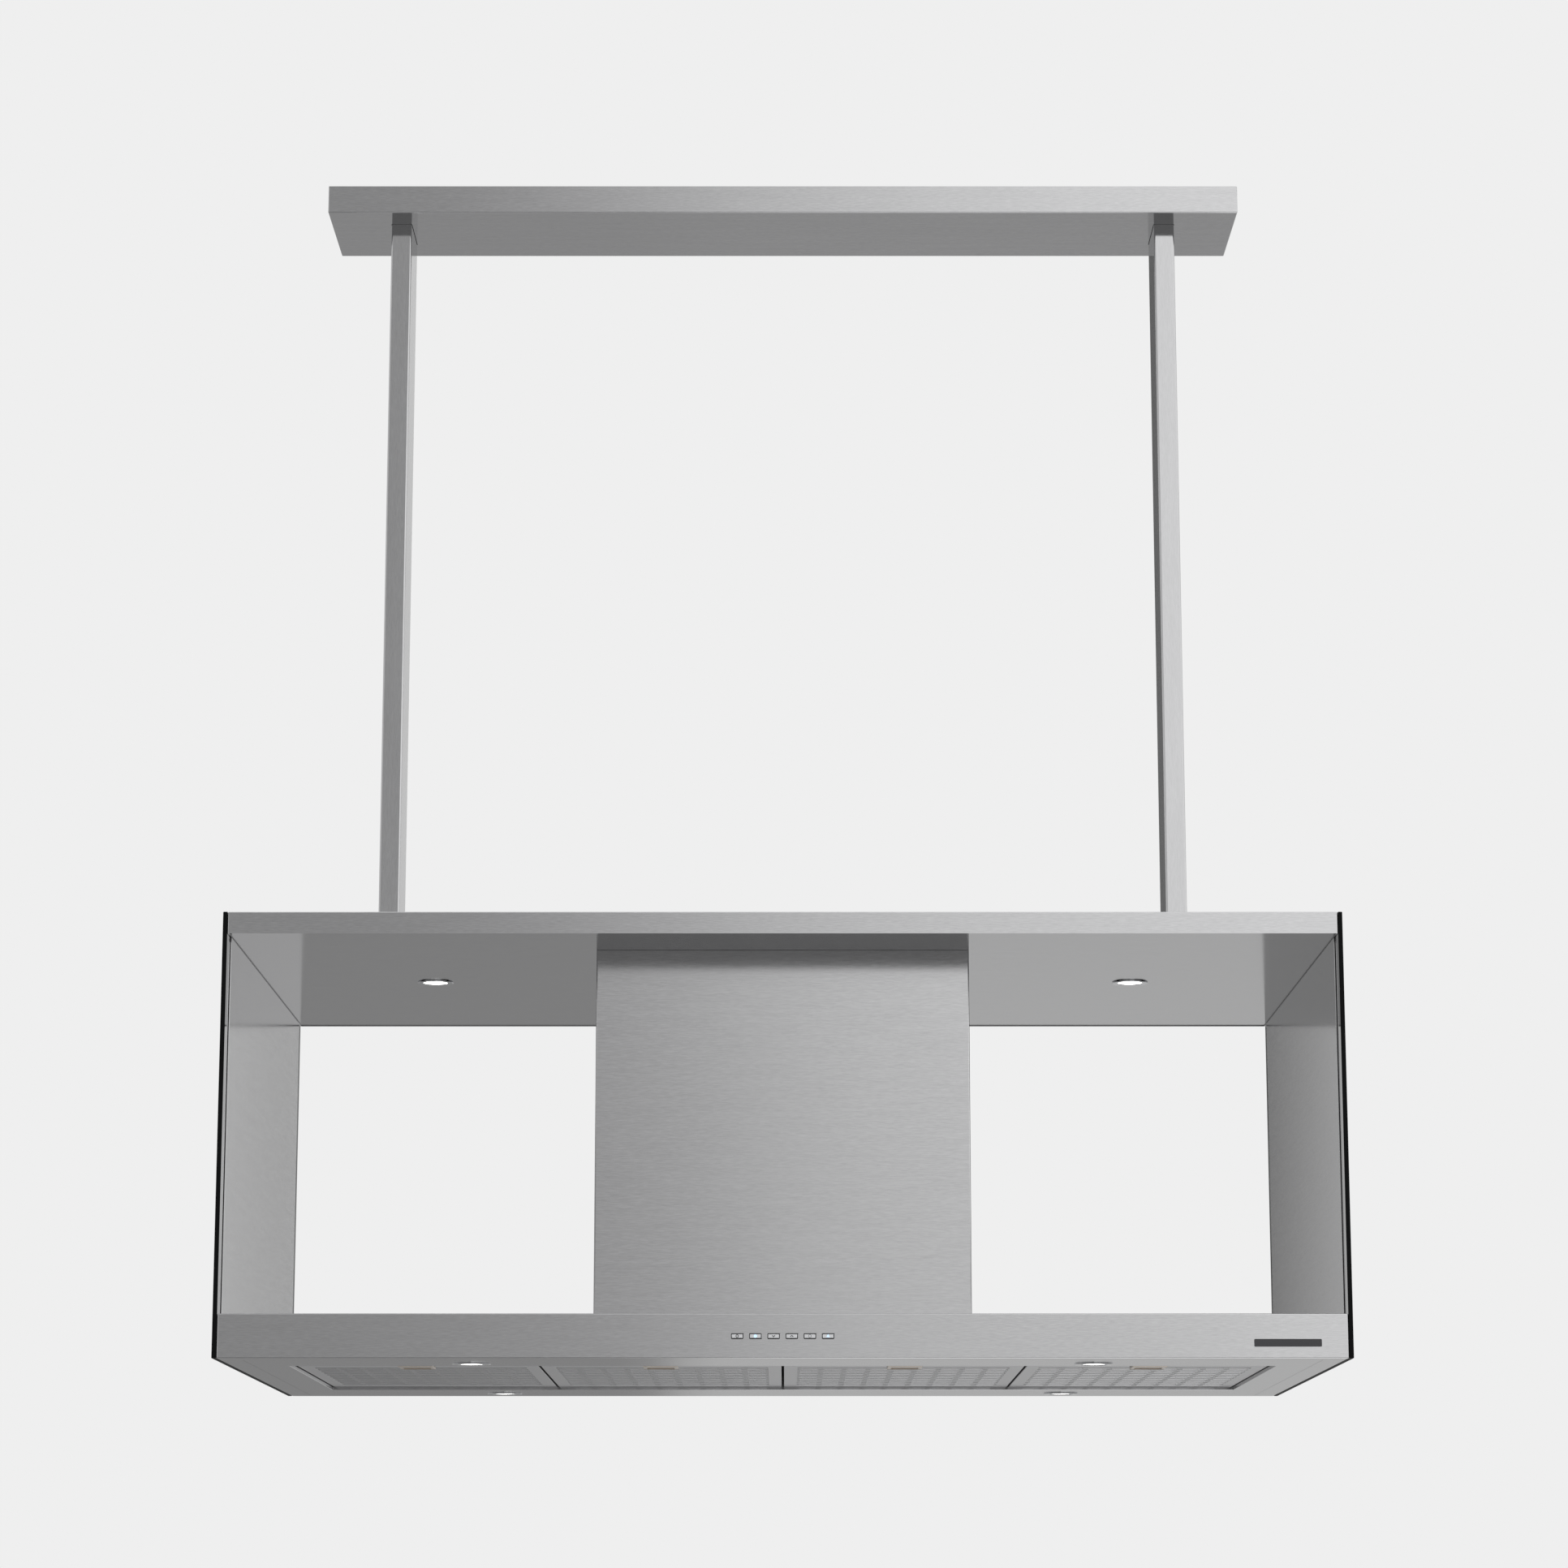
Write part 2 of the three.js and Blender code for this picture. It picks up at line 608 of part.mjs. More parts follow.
add('ceiling_bracket', ceilingBracket(), GALVANISED);
add('ceiling_cover', ceilingCover(), STEEL);
add('terminal_box', terminalBox(), BLACK_PLASTIC, [-285, 0, 0]);

for (const [side, sign, turn] of [['left', -1, 0], ['right', 1, Math.PI]]) {
  const onPost = [sign * POST.x, 0, 0];
  add(`${side}_post`, post(), STEEL, onPost, turn);
  add(`${side}_post_top_flange`, postTopFlange(), GALVANISED, onPost);
  add(`${side}_post_foot`, postFoot(), GALVANISED, onPost);
  add(`${side}_glass_panel`, glassPanel(), DARK_GLASS,
    [sign * (WIDTH / 2 - GLASS.thickness / 2), 0, 0]);
  add(`${side}_side_liner`, sideLiner(), STEEL, [sign * (HALF_STEEL - SHEET / 2), 0, 0]);
  add(`charcoal_filter_${side}`, charcoalFilter(), CARBON, [0, BLOWER.y, BLOWER.z],
    Math.PI - turn);
}

add('shelf_shell', shelfShell(), STEEL);
add('shelf_underside_pan', shelfUndersidePan(), STEEL);
add('shelf_frame', shelfFrame(), GALVANISED);
add('outlet_plenum', outletPlenum(), GALVANISED);
add('outlet_grille', outletGrille(), STEEL);

add('column_front_cover', columnCover(), STEEL);
add('column_rear_cover', columnCover(), STEEL, [0, 0, 0], Math.PI);

const blowerAxis = [0, BLOWER.y, BLOWER.z];
add('blower_housing', blowerHousing(), GALVANISED, blowerAxis);
add('motor_bracket', motorBracket(), GALVANISED, blowerAxis);
add('motor', motor(), BLACK_PLASTIC, blowerAxis);
add('impeller', impeller(), GALVANISED, blowerAxis);
add('impeller_shaft', impellerShaft(), CHROME, blowerAxis);

add('canopy_shell', canopyShell(), STEEL);
add('canopy_underside_pan', canopyUndersidePan(), STEEL);
for (let i = 0; i < FILTER_COUNT; i += 1) {
  add(`grease_filter_${i + 1}`, greaseFilter(), STEEL, [filterX(i), 0, 0]);
  add(`filter_latch_${i + 1}`, filterLatch(), CHROME, [filterX(i), 0, 0]);
}

const lampSeats = [
  ...SHELF_LAMPS.map(([x, y]) => [x, y, PAN_UNDERSIDE]),
  ...CANOPY_LAMPS.map(([x, y]) => [x, y, CANOPY_BOTTOM]),
];
lampSeats.forEach((seat, i) => {
  add(`lamp_housing_${i + 1}`, lampHousing(), CHROME, seat);
  add(`lamp_lens_${i + 1}`, lampLens(), DIFFUSER, seat);
});

add('control_board', controlBoard(), CIRCUIT_GREEN);
for (let i = 0; i < BUTTON.count; i += 1) {
  add(`button_${i + 1}`, pushButton(), BUTTON_STEEL,
    [buttonX(i), 0, CANOPY_BOTTOM + BUTTON.up]);
}
add('power_unit', powerUnit(), GALVANISED, [-95, 282, 0]);
add('blank_badge', badge(), STEEL,
  [BADGE.x, -DEPTH / 2 - GAP, CANOPY_BOTTOM + BADGE.up]);
add('internal_harness', internalHarness(), CABLE_GREY);

export default hood;
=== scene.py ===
"""Island range hood: brushed stainless steel, black glass sides, two ceiling posts.

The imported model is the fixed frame. Each sub-assembly is a class that makes the pieces
that show from the frame's nodes, gives them their finishes and lets them ride on their
bodies. Lengths are in metres: X to the right, Y to the back, Z up.
"""

from __future__ import annotations

import json
import logging
import math
from dataclasses import dataclass, field
from enum import Enum

import bmesh
import bpy
from mathutils import Matrix, Vector

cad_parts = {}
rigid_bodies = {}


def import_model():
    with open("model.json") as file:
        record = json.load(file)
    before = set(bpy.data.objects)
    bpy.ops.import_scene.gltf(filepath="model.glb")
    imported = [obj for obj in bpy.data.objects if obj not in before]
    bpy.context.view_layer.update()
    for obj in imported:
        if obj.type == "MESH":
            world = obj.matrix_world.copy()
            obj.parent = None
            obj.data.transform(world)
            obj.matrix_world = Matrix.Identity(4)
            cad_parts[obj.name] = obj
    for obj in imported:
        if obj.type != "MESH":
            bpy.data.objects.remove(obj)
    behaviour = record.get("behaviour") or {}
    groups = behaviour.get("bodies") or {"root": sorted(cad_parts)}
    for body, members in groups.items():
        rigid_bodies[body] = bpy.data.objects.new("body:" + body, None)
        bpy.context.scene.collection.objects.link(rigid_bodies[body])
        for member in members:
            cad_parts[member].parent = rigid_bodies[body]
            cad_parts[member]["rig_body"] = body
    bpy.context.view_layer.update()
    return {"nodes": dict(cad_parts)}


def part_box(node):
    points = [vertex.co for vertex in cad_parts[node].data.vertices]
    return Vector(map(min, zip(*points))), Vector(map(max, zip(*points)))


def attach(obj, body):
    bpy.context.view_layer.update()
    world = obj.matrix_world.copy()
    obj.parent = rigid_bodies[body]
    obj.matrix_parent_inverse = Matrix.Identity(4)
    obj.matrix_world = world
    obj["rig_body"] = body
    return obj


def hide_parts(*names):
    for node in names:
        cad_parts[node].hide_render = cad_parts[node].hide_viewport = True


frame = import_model()

LOG = logging.getLogger("hood")
MM = 0.001
MERGE_GAP = 0.002 * MM
BEND_ANGLE = math.radians(50)
FLAT_WEIGHT = 100
FILTERS = 4
LAMPS = 6

Stops = tuple[tuple[float, float], ...]
Span = tuple[float, float]
Tree = bpy.types.NodeTree
Node = bpy.types.Node
Socket = bpy.types.NodeSocket
Mesh = bmesh.types.BMesh


def srgb(code: str, scale: float = 1.0) -> tuple[float, float, float, float]:
    """Turn an sRGB hex colour into a linear one.

    Args:
        code: The colour as "#rrggbb".
        scale: A factor on the linear values.

    Returns:
        Linear red, green and blue, and an alpha of 1.
    """
    parts = [int(code[i:i + 2], 16) / 255 for i in (1, 3, 5)]
    lin = [c / 12.92 if c <= 0.04045 else ((c + 0.055) / 1.055) ** 2.4 for c in parts]
    return (*(min(1.0, c * scale) for c in lin), 1.0)


def add_node(tree: Tree, kind: str, inputs: dict | None = None, **settings: object) -> Node:
    """Add one shader node.

    Args:
        tree: The node tree that it goes into.
        kind: The node's type name.
        inputs: A value or a socket to link from, for each input name or number.
        settings: The node's own properties.

    Returns:
        The new node.
    """
    node = tree.nodes.new(kind)
    for key, value in settings.items():
        setattr(node, key, value)
    for key, value in (inputs or {}).items():
        if isinstance(value, Socket):
            tree.links.new(value, node.inputs[key])
        else:
            node.inputs[key].default_value = value
    return node


# ---------------------------------------------------------------------------
# Finishes
# ---------------------------------------------------------------------------


@dataclass(frozen=True)
class Finish:
    """A surface finish: its name, the record's slot and the shader's constant values.

    The spreads say how far the pattern moves the shade and the roughness, and relief how
    deep it is. A subclass draws the pattern that the real surface has.
    """

    name: str
    slot: str
    colour: str
    metallic: float = 0.0
    roughness: float = 0.5
    shade_spread: float = 0.05
    rough_spread: float = 0.04
    relief: float = 0.02 * MM
    specks_per_metre: float = 400.0
    least_roughness: float = 0.01

    def material(self) -> bpy.types.Material:
        """Make this finish's material on first use.

        Returns:
            The material, the same one each time.
        """
        found = bpy.data.materials.get(self.name)
        if found is not None:
            return found
        made = bpy.data.materials.new(self.name)
        made.use_nodes = True
        tree = made.node_tree
        tree.nodes.clear()
        shader = add_node(tree, "ShaderNodeBsdfPrincipled", {"Metallic": self.metallic})
        add_node(tree, "ShaderNodeOutputMaterial", {"Surface": shader.outputs["BSDF"]})
        place = add_node(tree, "ShaderNodeTexCoord").outputs["Object"]
        self.draw(tree, shader, self.pattern(tree, place))
        self.settle(tree, shader)
        return made

    def pattern(self, tree: Tree, place: Socket) -> Socket:
        """Draw the surface's pattern, from 0 to 1.

        Args:
            tree: The material's node tree.
            place: The point in metres.

        Returns:
            The socket that carries the pattern.
        """
        return add_node(tree, "ShaderNodeTexNoise", {
            "Vector": place, "Scale": self.specks_per_metre, "Detail": 3.0,
        }).outputs["Fac"]

    def draw(self, tree: Tree, shader: Node, mask: Socket) -> None:
        """Let the pattern vary the shader's colour, roughness and relief.

        Args:
            tree: The material's node tree.
            shader: The surface shader.
            mask: The pattern, from 0 to 1.
        """
        low, high = self.roughness - self.rough_spread, self.roughness + self.rough_spread
        rough = add_node(tree, "ShaderNodeMapRange", {
            "Value": mask, "To Min": max(low, self.least_roughness), "To Max": high,
        })
        # Inputs 6 and 7 of a colour mix are its two colours.
        shade = add_node(tree, "ShaderNodeMix", {
            "Factor": mask,
            6: srgb(self.colour, 1 - self.shade_spread),
            7: srgb(self.colour, 1 + self.shade_spread),
        }, data_type="RGBA")
        bump = add_node(tree, "ShaderNodeBump", {
            "Height": mask, "Strength": 1.0, "Distance": self.relief,
        })
        tree.links.new(rough.outputs["Result"], shader.inputs["Roughness"])
        tree.links.new(shade.outputs[2], shader.inputs["Base Color"])
        tree.links.new(bump.outputs["Normal"], shader.inputs["Normal"])

    def settle(self, tree: Tree, shader: Node) -> None:
        """Set what only this finish has; the plain one has nothing more."""


class Grain(Enum):
    """The direction that the steel was brushed in."""

    ALONG_X = (1.0, 0.0, 0.0)
    ALONG_Y = (0.0, 1.0, 0.0)
    ALONG_Z = (0.0, 0.0, 1.0)


@dataclass(frozen=True)
class BrushedSteel(Finish):
    """Stainless sheet brushed with a belt: fine parallel scratches that stretch reflections
    across the grain and keep them sharp along it.

    The scratches are about 0.1 mm wide; they are drawn 0.9 mm wide so that they show.
    """

    grain: Grain = Grain.ALONG_X
    anisotropy: float = 0.6
    quarter_turn: float = 0.25
    scratch: float = 0.9 * MM
    streak: float = 5.0 * MM
    run: float = 9.0 * MM
    streak_runs: float = 8.0
    streak_share: float = 0.25

    def pattern(self, tree: Tree, place: Socket) -> Socket:
        """Draw short scratches over longer, wider streaks.

        Args:
            tree: The material's node tree.
            place: The point in metres.

        Returns:
            The socket that carries the pattern.
        """
        layers = []
        sizes = ((self.scratch, self.run), (self.streak, self.run * self.streak_runs))
        for width, run in sizes:
            scale = [1 / run if along else 1 / width for along in self.grain.value]
            spot = add_node(tree, "ShaderNodeMapping", {"Vector": place, "Scale": scale})
            noise = add_node(tree, "ShaderNodeTexNoise", {
                "Vector": spot.outputs["Vector"], "Scale": 1.0, "Detail": 2.0,
            })
            layers.append(noise.outputs["Fac"])
        return add_node(tree, "ShaderNodeMix", {
            "Factor": self.streak_share, 2: layers[0], 3: layers[1],
        }, data_type="FLOAT").outputs[0]

    def settle(self, tree: Tree, shader: Node) -> None:
        """Stretch the reflections across the grain.

        Args:
            tree: The material's node tree.
            shader: The surface shader.
        """
        along = add_node(tree, "ShaderNodeCombineXYZ", {
            axis: value for axis, value in zip("XYZ", self.grain.value)
        })
        shader.inputs["Anisotropic"].default_value = self.anisotropy
        shader.inputs["Anisotropic Rotation"].default_value = self.quarter_turn
        tree.links.new(along.outputs["Vector"], shader.inputs["Tangent"])


@dataclass(frozen=True)
class ZincSpangle(Finish):
    """Hot-dip galvanised sheet: dull zinc crystals about 9 mm across."""

    crystal: float = 9.0 * MM

    def pattern(self, tree: Tree, place: Socket) -> Socket:
        """Give each crystal one shade.

        Args:
            tree: The material's node tree.
            place: The point in metres.

        Returns:
            The socket that carries the pattern.
        """
        cells = add_node(tree, "ShaderNodeTexVoronoi", {
            "Vector": place, "Scale": 1 / self.crystal,
        })
        return add_node(tree, "ShaderNodeSeparateColor", {
            "Color": cells.outputs["Color"],
        }).outputs["Red"]


@dataclass(frozen=True)
class ExpandedMesh(Finish):
    """Layers of expanded aluminium foil: bright strands round diamonds painted dark, as painted
    shade in the openings between the strands.

    The waves texture repeats every pi / 10 at a scale of 1.
    """

    pitch: float = 5.0 * MM
    slope: float = 0.6
    period: float = math.pi / 10
    wander: float = 0.6

    def pattern(self, tree: Tree, place: Socket) -> Socket:
        """Draw two sets of strands that cross each other.

        Args:
            tree: The material's node tree.
            place: The point in metres.

        Returns:
            The socket that carries the pattern.
        """
        sets = []
        for turn in (-self.slope, self.slope):
            spot = add_node(tree, "ShaderNodeMapping", {
                "Vector": place, "Rotation": (0.0, 0.0, turn),
            })
            sets.append(add_node(tree, "ShaderNodeTexWave", {
                "Vector": spot.outputs["Vector"], "Scale": self.period / self.pitch,
                "Distortion": self.wander, "Detail": 1.0, "Detail Scale": 2.0,
            }).outputs["Fac"])
        # Between the strands the pattern is low, and there the colour is darkened: painted shade
        # in the openings of the foil.
        return add_node(tree, "ShaderNodeMath", {
            0: sets[0], 1: sets[1],
        }, operation="MAXIMUM").outputs[0]


@dataclass(frozen=True)
class PaintedGlass(Finish):
    """Toughened float glass, painted black on its back: a deep gloss with the faint waviness
    of toughening and a little haze of wiping marks."""

    waves_per_metre: float = 11.0
    coat_roughness: float = 0.02

    def pattern(self, tree: Tree, place: Socket) -> Socket:
        """Return slow waves about 90 mm long."""
        return add_node(tree, "ShaderNodeTexNoise", {
            "Vector": place, "Scale": self.waves_per_metre, "Detail": 2.0,
        }).outputs["Fac"]

    def settle(self, tree: Tree, shader: Node) -> None:
        """Add the clear glass over the paint."""
        shader.inputs["Coat Weight"].default_value = 1.0
        shader.inputs["Coat Roughness"].default_value = self.coat_roughness


@dataclass(frozen=True)
class Moulded(Finish):
    """Moulded, cast, plated or painted surface with a fine even grain."""

    grain_size: float = 0.8 * MM

    def pattern(self, tree: Tree, place: Socket) -> Socket:
        """Return an even grain of the given size."""
        return add_node(tree, "ShaderNodeTexNoise", {
            "Vector": place, "Scale": 1 / self.grain_size, "Detail": 2.0,
        }).outputs["Fac"]


@dataclass(frozen=True)
class Matt(Moulded):
    """A ground surface, which scatters what it reflects until little is left."""

    mirror: float = 0.12

    def settle(self, tree: Tree, shader: Node) -> None:
        """Lower the mirror reflection."""
        shader.inputs["Specular IOR Level"].default_value = self.mirror


@dataclass(frozen=True)
class CarbonGrains(Finish):
    """Cassette packed with activated carbon: matt black grains 3 mm across."""

    grain_size: float = 3.0 * MM

    def pattern(self, tree: Tree, place: Socket) -> Socket:
        """Return rounded grains of the given size."""
        return add_node(tree, "ShaderNodeTexVoronoi", {
            "Vector": place, "Scale": 1 / self.grain_size,
        }).outputs["Distance"]


@dataclass(frozen=True)
class Lit(Finish):
    """Frosted plastic in front of a lamp that is on."""

    glow: float = 1.0

    def settle(self, tree: Tree, shader: Node) -> None:
        """Add the lamp's own light."""
        shader.inputs["Emission Color"].default_value = srgb(self.colour)
        shader.inputs["Emission Strength"].default_value = self.glow


# Brushed across: soft upright reflections, a silky grey that follows the room.
STEEL = BrushedSteel(
    "brushed stainless, grain across", "brushed_stainless", "#cfcfd0", 1.0, 0.13,
    shade_spread=0.2, rough_spread=0.03, relief=0.006 * MM)
# The same sheet, with its brushing running to the back.
STEEL_SIDE = BrushedSteel(
    "brushed stainless, side sheets", "brushed_stainless", "#cfcfd0", 1.0, 0.13,
    shade_spread=0.2, rough_spread=0.03, relief=0.006 * MM, grain=Grain.ALONG_Y)
# Brushed more lightly along the tube: a little closer to a mirror than the flat sheets.
STEEL_POST = BrushedSteel(
    "brushed stainless, grain up", "brushed_stainless", "#cfcfd0", 1.0, 0.11,
    shade_spread=0.11, rough_spread=0.02, relief=0.004 * MM, grain=Grain.ALONG_Z)
# Rolled, with hardly a grain: an even, slightly milky grey.
FILTER_STEEL = BrushedSteel(
    "rolled stainless, filter", "filter_steel", "#cccccd", 1.0, 0.3,
    shade_spread=0.05, rough_spread=0.02, relief=0.002 * MM, run=60.0 * MM)
# Layers of foil strands: a dull grey net round diamonds painted dark, the painted shade of the
# openings.
FILTER_MESH = ExpandedMesh(
    "expanded aluminium mesh", "filter_steel", "#9c9ea0", 0.4, 0.55,
    shade_spread=0.8, rough_spread=0.1, relief=0.5 * MM)
# Dipped in zinc: a patchwork of dull blue-grey crystals.
ZINC = ZincSpangle(
    "galvanised sheet", "galvanised_steel", "#b7bbbd", 1.0, 0.42,
    shade_spread=0.12, rough_spread=0.08, relief=0.0)
# Paint behind glass: deep black, with clear reflections on top of it.
GLASS = PaintedGlass(
    "black back-painted glass", "black_glass", "#0b0c0e", 0.0, 0.06,
    shade_spread=0.2, rough_spread=0.02, relief=0.02 * MM)
# The glass ground at its edge: black with hardly any shine.
GROUND_EDGE = Matt(
    "ground edge of black glass", "black_glass", "#08090a", 0.0, 0.55,
    shade_spread=0.2, rough_spread=0.08, relief=0.02 * MM)
# Moulded: dark grey with a fine grain that breaks up highlights.
PLASTIC = Moulded(
    "black moulded polypropylene", "black_plastic", "#222326", 0.0, 0.5,
    shade_spread=0.12, rough_spread=0.08, relief=0.05 * MM)
# Stoved on a casting: black with a soft shine over a pebbled surface.
MOTOR_ENAMEL = Moulded(
    "black stoved enamel on cast aluminium", "motor_enamel", "#2a2b2e", 0.0, 0.32,
    shade_spread=0.1, rough_spread=0.06, relief=0.04 * MM, grain_size=1.5 * MM)
# Plated and polished: a clean mirror that draws bright and dark lines.
CHROME = Moulded(
    "polished chrome plate", "polished_chrome", "#dcdddf", 1.0, 0.09,
    shade_spread=0.03, rough_spread=0.03, relief=0.002 * MM, grain_size=3.0 * MM)
# Satin plating on plastic: lighter and more even than the steel round it.
BUTTON_STEEL = Moulded(
    "satin chrome button cap", "button_steel", "#e8e9eb", 0.5, 0.25,
    shade_spread=0.03, rough_spread=0.04, relief=0.002 * MM)
# Pad printing: flat black with crisp edges.
BUTTON_PRINT = Moulded(
    "black pad print", "button_steel", "#26272a", 0.0, 0.45,
    shade_spread=0.08, rough_spread=0.05, relief=0.01 * MM)
# Light through the cap: a cold, evenly lit blue-white.
BUTTON_LIGHT = Lit(
    "button light, cold white", "lamp_diffuser", "#b4d4ff", 0.0, 0.3,
    shade_spread=0.02, rough_spread=0.02, relief=0.0, glow=0.85)
# Plated brass: a warm, light grey against the cool steel.
LATCH_BRASS = Moulded(
    "nickel-plated brass latch", "latch_brass", "#ddd3c8", 1.0, 0.3,
    shade_spread=0.08, rough_spread=0.05, relief=0.01 * MM)
# Frosted plastic with the lamp on: white, without a visible bulb.
DIFFUSER = Lit(
    "frosted lamp diffuser, lit", "lamp_diffuser", "#fffdf8", 0.0, 0.3,
    shade_spread=0.02, rough_spread=0.03, relief=0.01 * MM, glow=5.0)
# Enamel: dark grey with a smooth shine.
BADGE_ENAMEL = Moulded(
    "dark badge enamel", "badge_enamel", "#3a3a3d", 0.0, 0.25,
    shade_spread=0.06, rough_spread=0.05, relief=0.005 * MM)
# Packed grains: black and rough, with no shine.
CARBON = CarbonGrains(
    "activated carbon cassette", "carbon_cassette", "#2c2c2d", 0.0, 0.8,
    shade_spread=0.4, rough_spread=0.1, relief=0.4 * MM)
# Lacquer on a board: dark green with a soft gloss.
SOLDER_MASK = Moulded(
    "green solder mask", "circuit_board", "#1f5a3a", 0.0, 0.35,
    shade_spread=0.15, rough_spread=0.08, relief=0.02 * MM, grain_size=2.0 * MM)
# Extruded sheath: plain matt grey.
SHEATH = Moulded(
    "grey cable sheath", "cable_sheath", "#4c4d50", 0.0, 0.5,
    shade_spread=0.06, rough_spread=0.05, relief=0.02 * MM)
# Flat paint: nearly white, and it only shows the softest shadow.
FLOOR_PAINT = Moulded(
    "pale studio floor", "", "#f4f4f3", 0.0, 0.7,
    shade_spread=0.01, rough_spread=0.05, relief=0.0, grain_size=40.0 * MM)


# ---------------------------------------------------------------------------
# Mesh work
# ---------------------------------------------------------------------------


def centre_of(node: str) -> Vector:
    """Return the middle of a node's box."""
    low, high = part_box(node)
    return (low + high) / 2


def front_box(bm: Mesh, depth: float = 0.1 * MM) -> tuple[Vector, Vector]:
    """Measure the flat front of a mesh.

    Args:
        bm: The mesh.
        depth: How far behind its foremost point a corner still belongs to the front.

    Returns:
        The front's lowest and highest corners.
    """
    front = min(v.co.y for v in bm.verts)
    face = [v.co for v in bm.verts if v.co.y < front + depth]
    low = Vector([min(c[i] for c in face) for i in range(3)])
    high = Vector([max(c[i] for c in face) for i in range(3)])
    return low, high


def block(bm: Mesh, low: Vector, high: Vector) -> list[bmesh.types.BMVert]:
    """Add a box between two corners.

    Args:
        bm: The mesh that it goes into.
        low: The lowest corner.
        high: The highest corner.

    Returns:
        The box's vertices.
    """
    size = Vector(high) - Vector(low)
    place = Matrix.Translation((Vector(low) + Vector(high)) / 2) @ Matrix.Diagonal(
        (*size, 1.0))
    return bmesh.ops.create_cube(bm, size=1.0, matrix=place)["verts"]


def panel_reach(edge: bmesh.types.BMEdge) -> float:
    """Return how far the narrower of an edge's two faces goes from the edge."""
    return min(f.calc_area() for f in edge.link_faces) / max(edge.calc_length(), 1e-9)


def round_edges(bm: Mesh, edges: list[bmesh.types.BMEdge], radius: float, steps: int) -> None:
    """Round edges of a mesh.

    Args:
        bm: The mesh.
        edges: The edges to round.
        radius: How far the rounding reaches from each edge.
        steps: The steps round each edge.
    """
    bmesh.ops.bevel(
        bm, geom=edges, offset=radius, offset_type="OFFSET", segments=steps,
        profile=0.5, affect="EDGES", material=-1, clamp_overlap=True)


def fold_edges(
    bm: Mesh, outer: float, rim: float, bend_steps: int = 3, rim_steps: int = 2,
    wide: float = 4.0,
) -> None:
    """Round the bends of folded sheet widely and its cut rims finely.

    Args:
        bm: The mesh, with its flat faces whole.
        outer: The radius on bends between wide faces.
        rim: The radius on the edges of the sheet's own thickness.
        bend_steps: The steps round each bend.
        rim_steps: The steps round each cut rim.
        wide: How many outer radii a wide face reaches at least.
    """
    for radius, steps, wanted in ((outer, bend_steps, True), (rim, rim_steps, False)):
        edges = [
            e for e in bm.edges
            if len(e.link_faces) == 2
            and abs(e.calc_face_angle(0.0)) > BEND_ANGLE
            and (panel_reach(e) > wide * outer) == wanted
        ]
        if edges:
            round_edges(bm, edges, radius, steps)


def whole_copy(
    node: str, halved: bool = False, flat: float = math.radians(0.5)
) -> Mesh:
    """Copy a node's mesh, with its corners merged and its flat faces whole.

    Args:
        node: The frame's node.
        halved: Whether a seam down the middle keeps its faces in two, as a face round
            holes has to be.
        flat: The angle up to which neighbours count as one flat face.

    Returns:
        The copy.
    """
    bm = bmesh.new()
    bm.from_mesh(frame["nodes"][node].data)
    bmesh.ops.remove_doubles(bm, verts=bm.verts, dist=MERGE_GAP)
    if halved:
        cut = bmesh.ops.bisect_plane(
            bm, geom=[*bm.verts, *bm.edges, *bm.faces], plane_co=centre_of(node),
            plane_no=(1, 0, 0))["geom_cut"]
        for edge in (e for e in cut if isinstance(e, bmesh.types.BMEdge)):
            edge.seam = True
    bmesh.ops.dissolve_limit(
        bm, angle_limit=flat, verts=bm.verts, edges=bm.edges, delimit={"SEAM"})
    return bm


def show(
    name: str,
    bm: Mesh,
    finish: Finish,
    body: str,
    stands_for: tuple[str, ...] = (),
    sharp: float = 50.0,
) -> bpy.types.Object:
    """Turn a finished mesh into a piece that rides on a body.

    Args:
        name: The piece's name.
        bm: Its mesh, in place; it is used up.
        finish: Its finish.
        body: The body that it rides on.
        stands_for: The frame's nodes that it replaces.
        sharp: The angle in degrees from which an edge stays sharp.

    Returns:
        The piece.
    """
    for face in bm.faces:
        face.smooth = True
    for edge in bm.edges:
        edge.smooth = abs(edge.calc_face_angle(0.0)) < math.radians(sharp)
    mesh = bpy.data.meshes.new(name)
    bm.to_mesh(mesh)
    bm.free()
    mesh.materials.append(finish.material())
    piece = bpy.data.objects.new(name, mesh)
    bpy.context.scene.collection.objects.link(piece)
    weighted = piece.modifiers.new("flat faces stay flat", "WEIGHTED_NORMAL")
    weighted.keep_sharp = True
    weighted.weight = FLAT_WEIGHT
    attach(piece, body)
    if stands_for:
        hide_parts(*stands_for)
    LOG.info("%s rides on %s, in %s", name, body, finish.name)
    return piece


def folded(
    node: str, finish: Finish, outer: float = 1.0 * MM, rim: float = 0.3 * MM,
    halved: bool = False,
) -> bpy.types.Object:
    """Replace a node by its copy with rounded bends and rims.

    Args:
        node: The frame's node.
        finish: The piece's finish.
        outer: The radius of its bends.
        rim: The radius of its cut rims.
        halved: Whether its flat faces have holes, and a seam parts them.

    Returns:
        The piece.
    """
    bm = whole_copy(node, halved)
    fold_edges(bm, outer, rim)
    body = frame["nodes"][node]["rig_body"]
    return show(f"{node}_sheet", bm, finish, body, (node,))


def dress(node: str, finish: Finish) -> None:
    """Give a node that keeps its own mesh its finish.

    Args:
        node: The frame's node.
        finish: Its finish.
    """
    piece = frame["nodes"][node]
    if not piece.material_slots:
        piece.data.materials.append(None)
    for slot in piece.material_slots:
        slot.material = finish.material()
    LOG.info("%s keeps its mesh, in %s", node, finish.name)


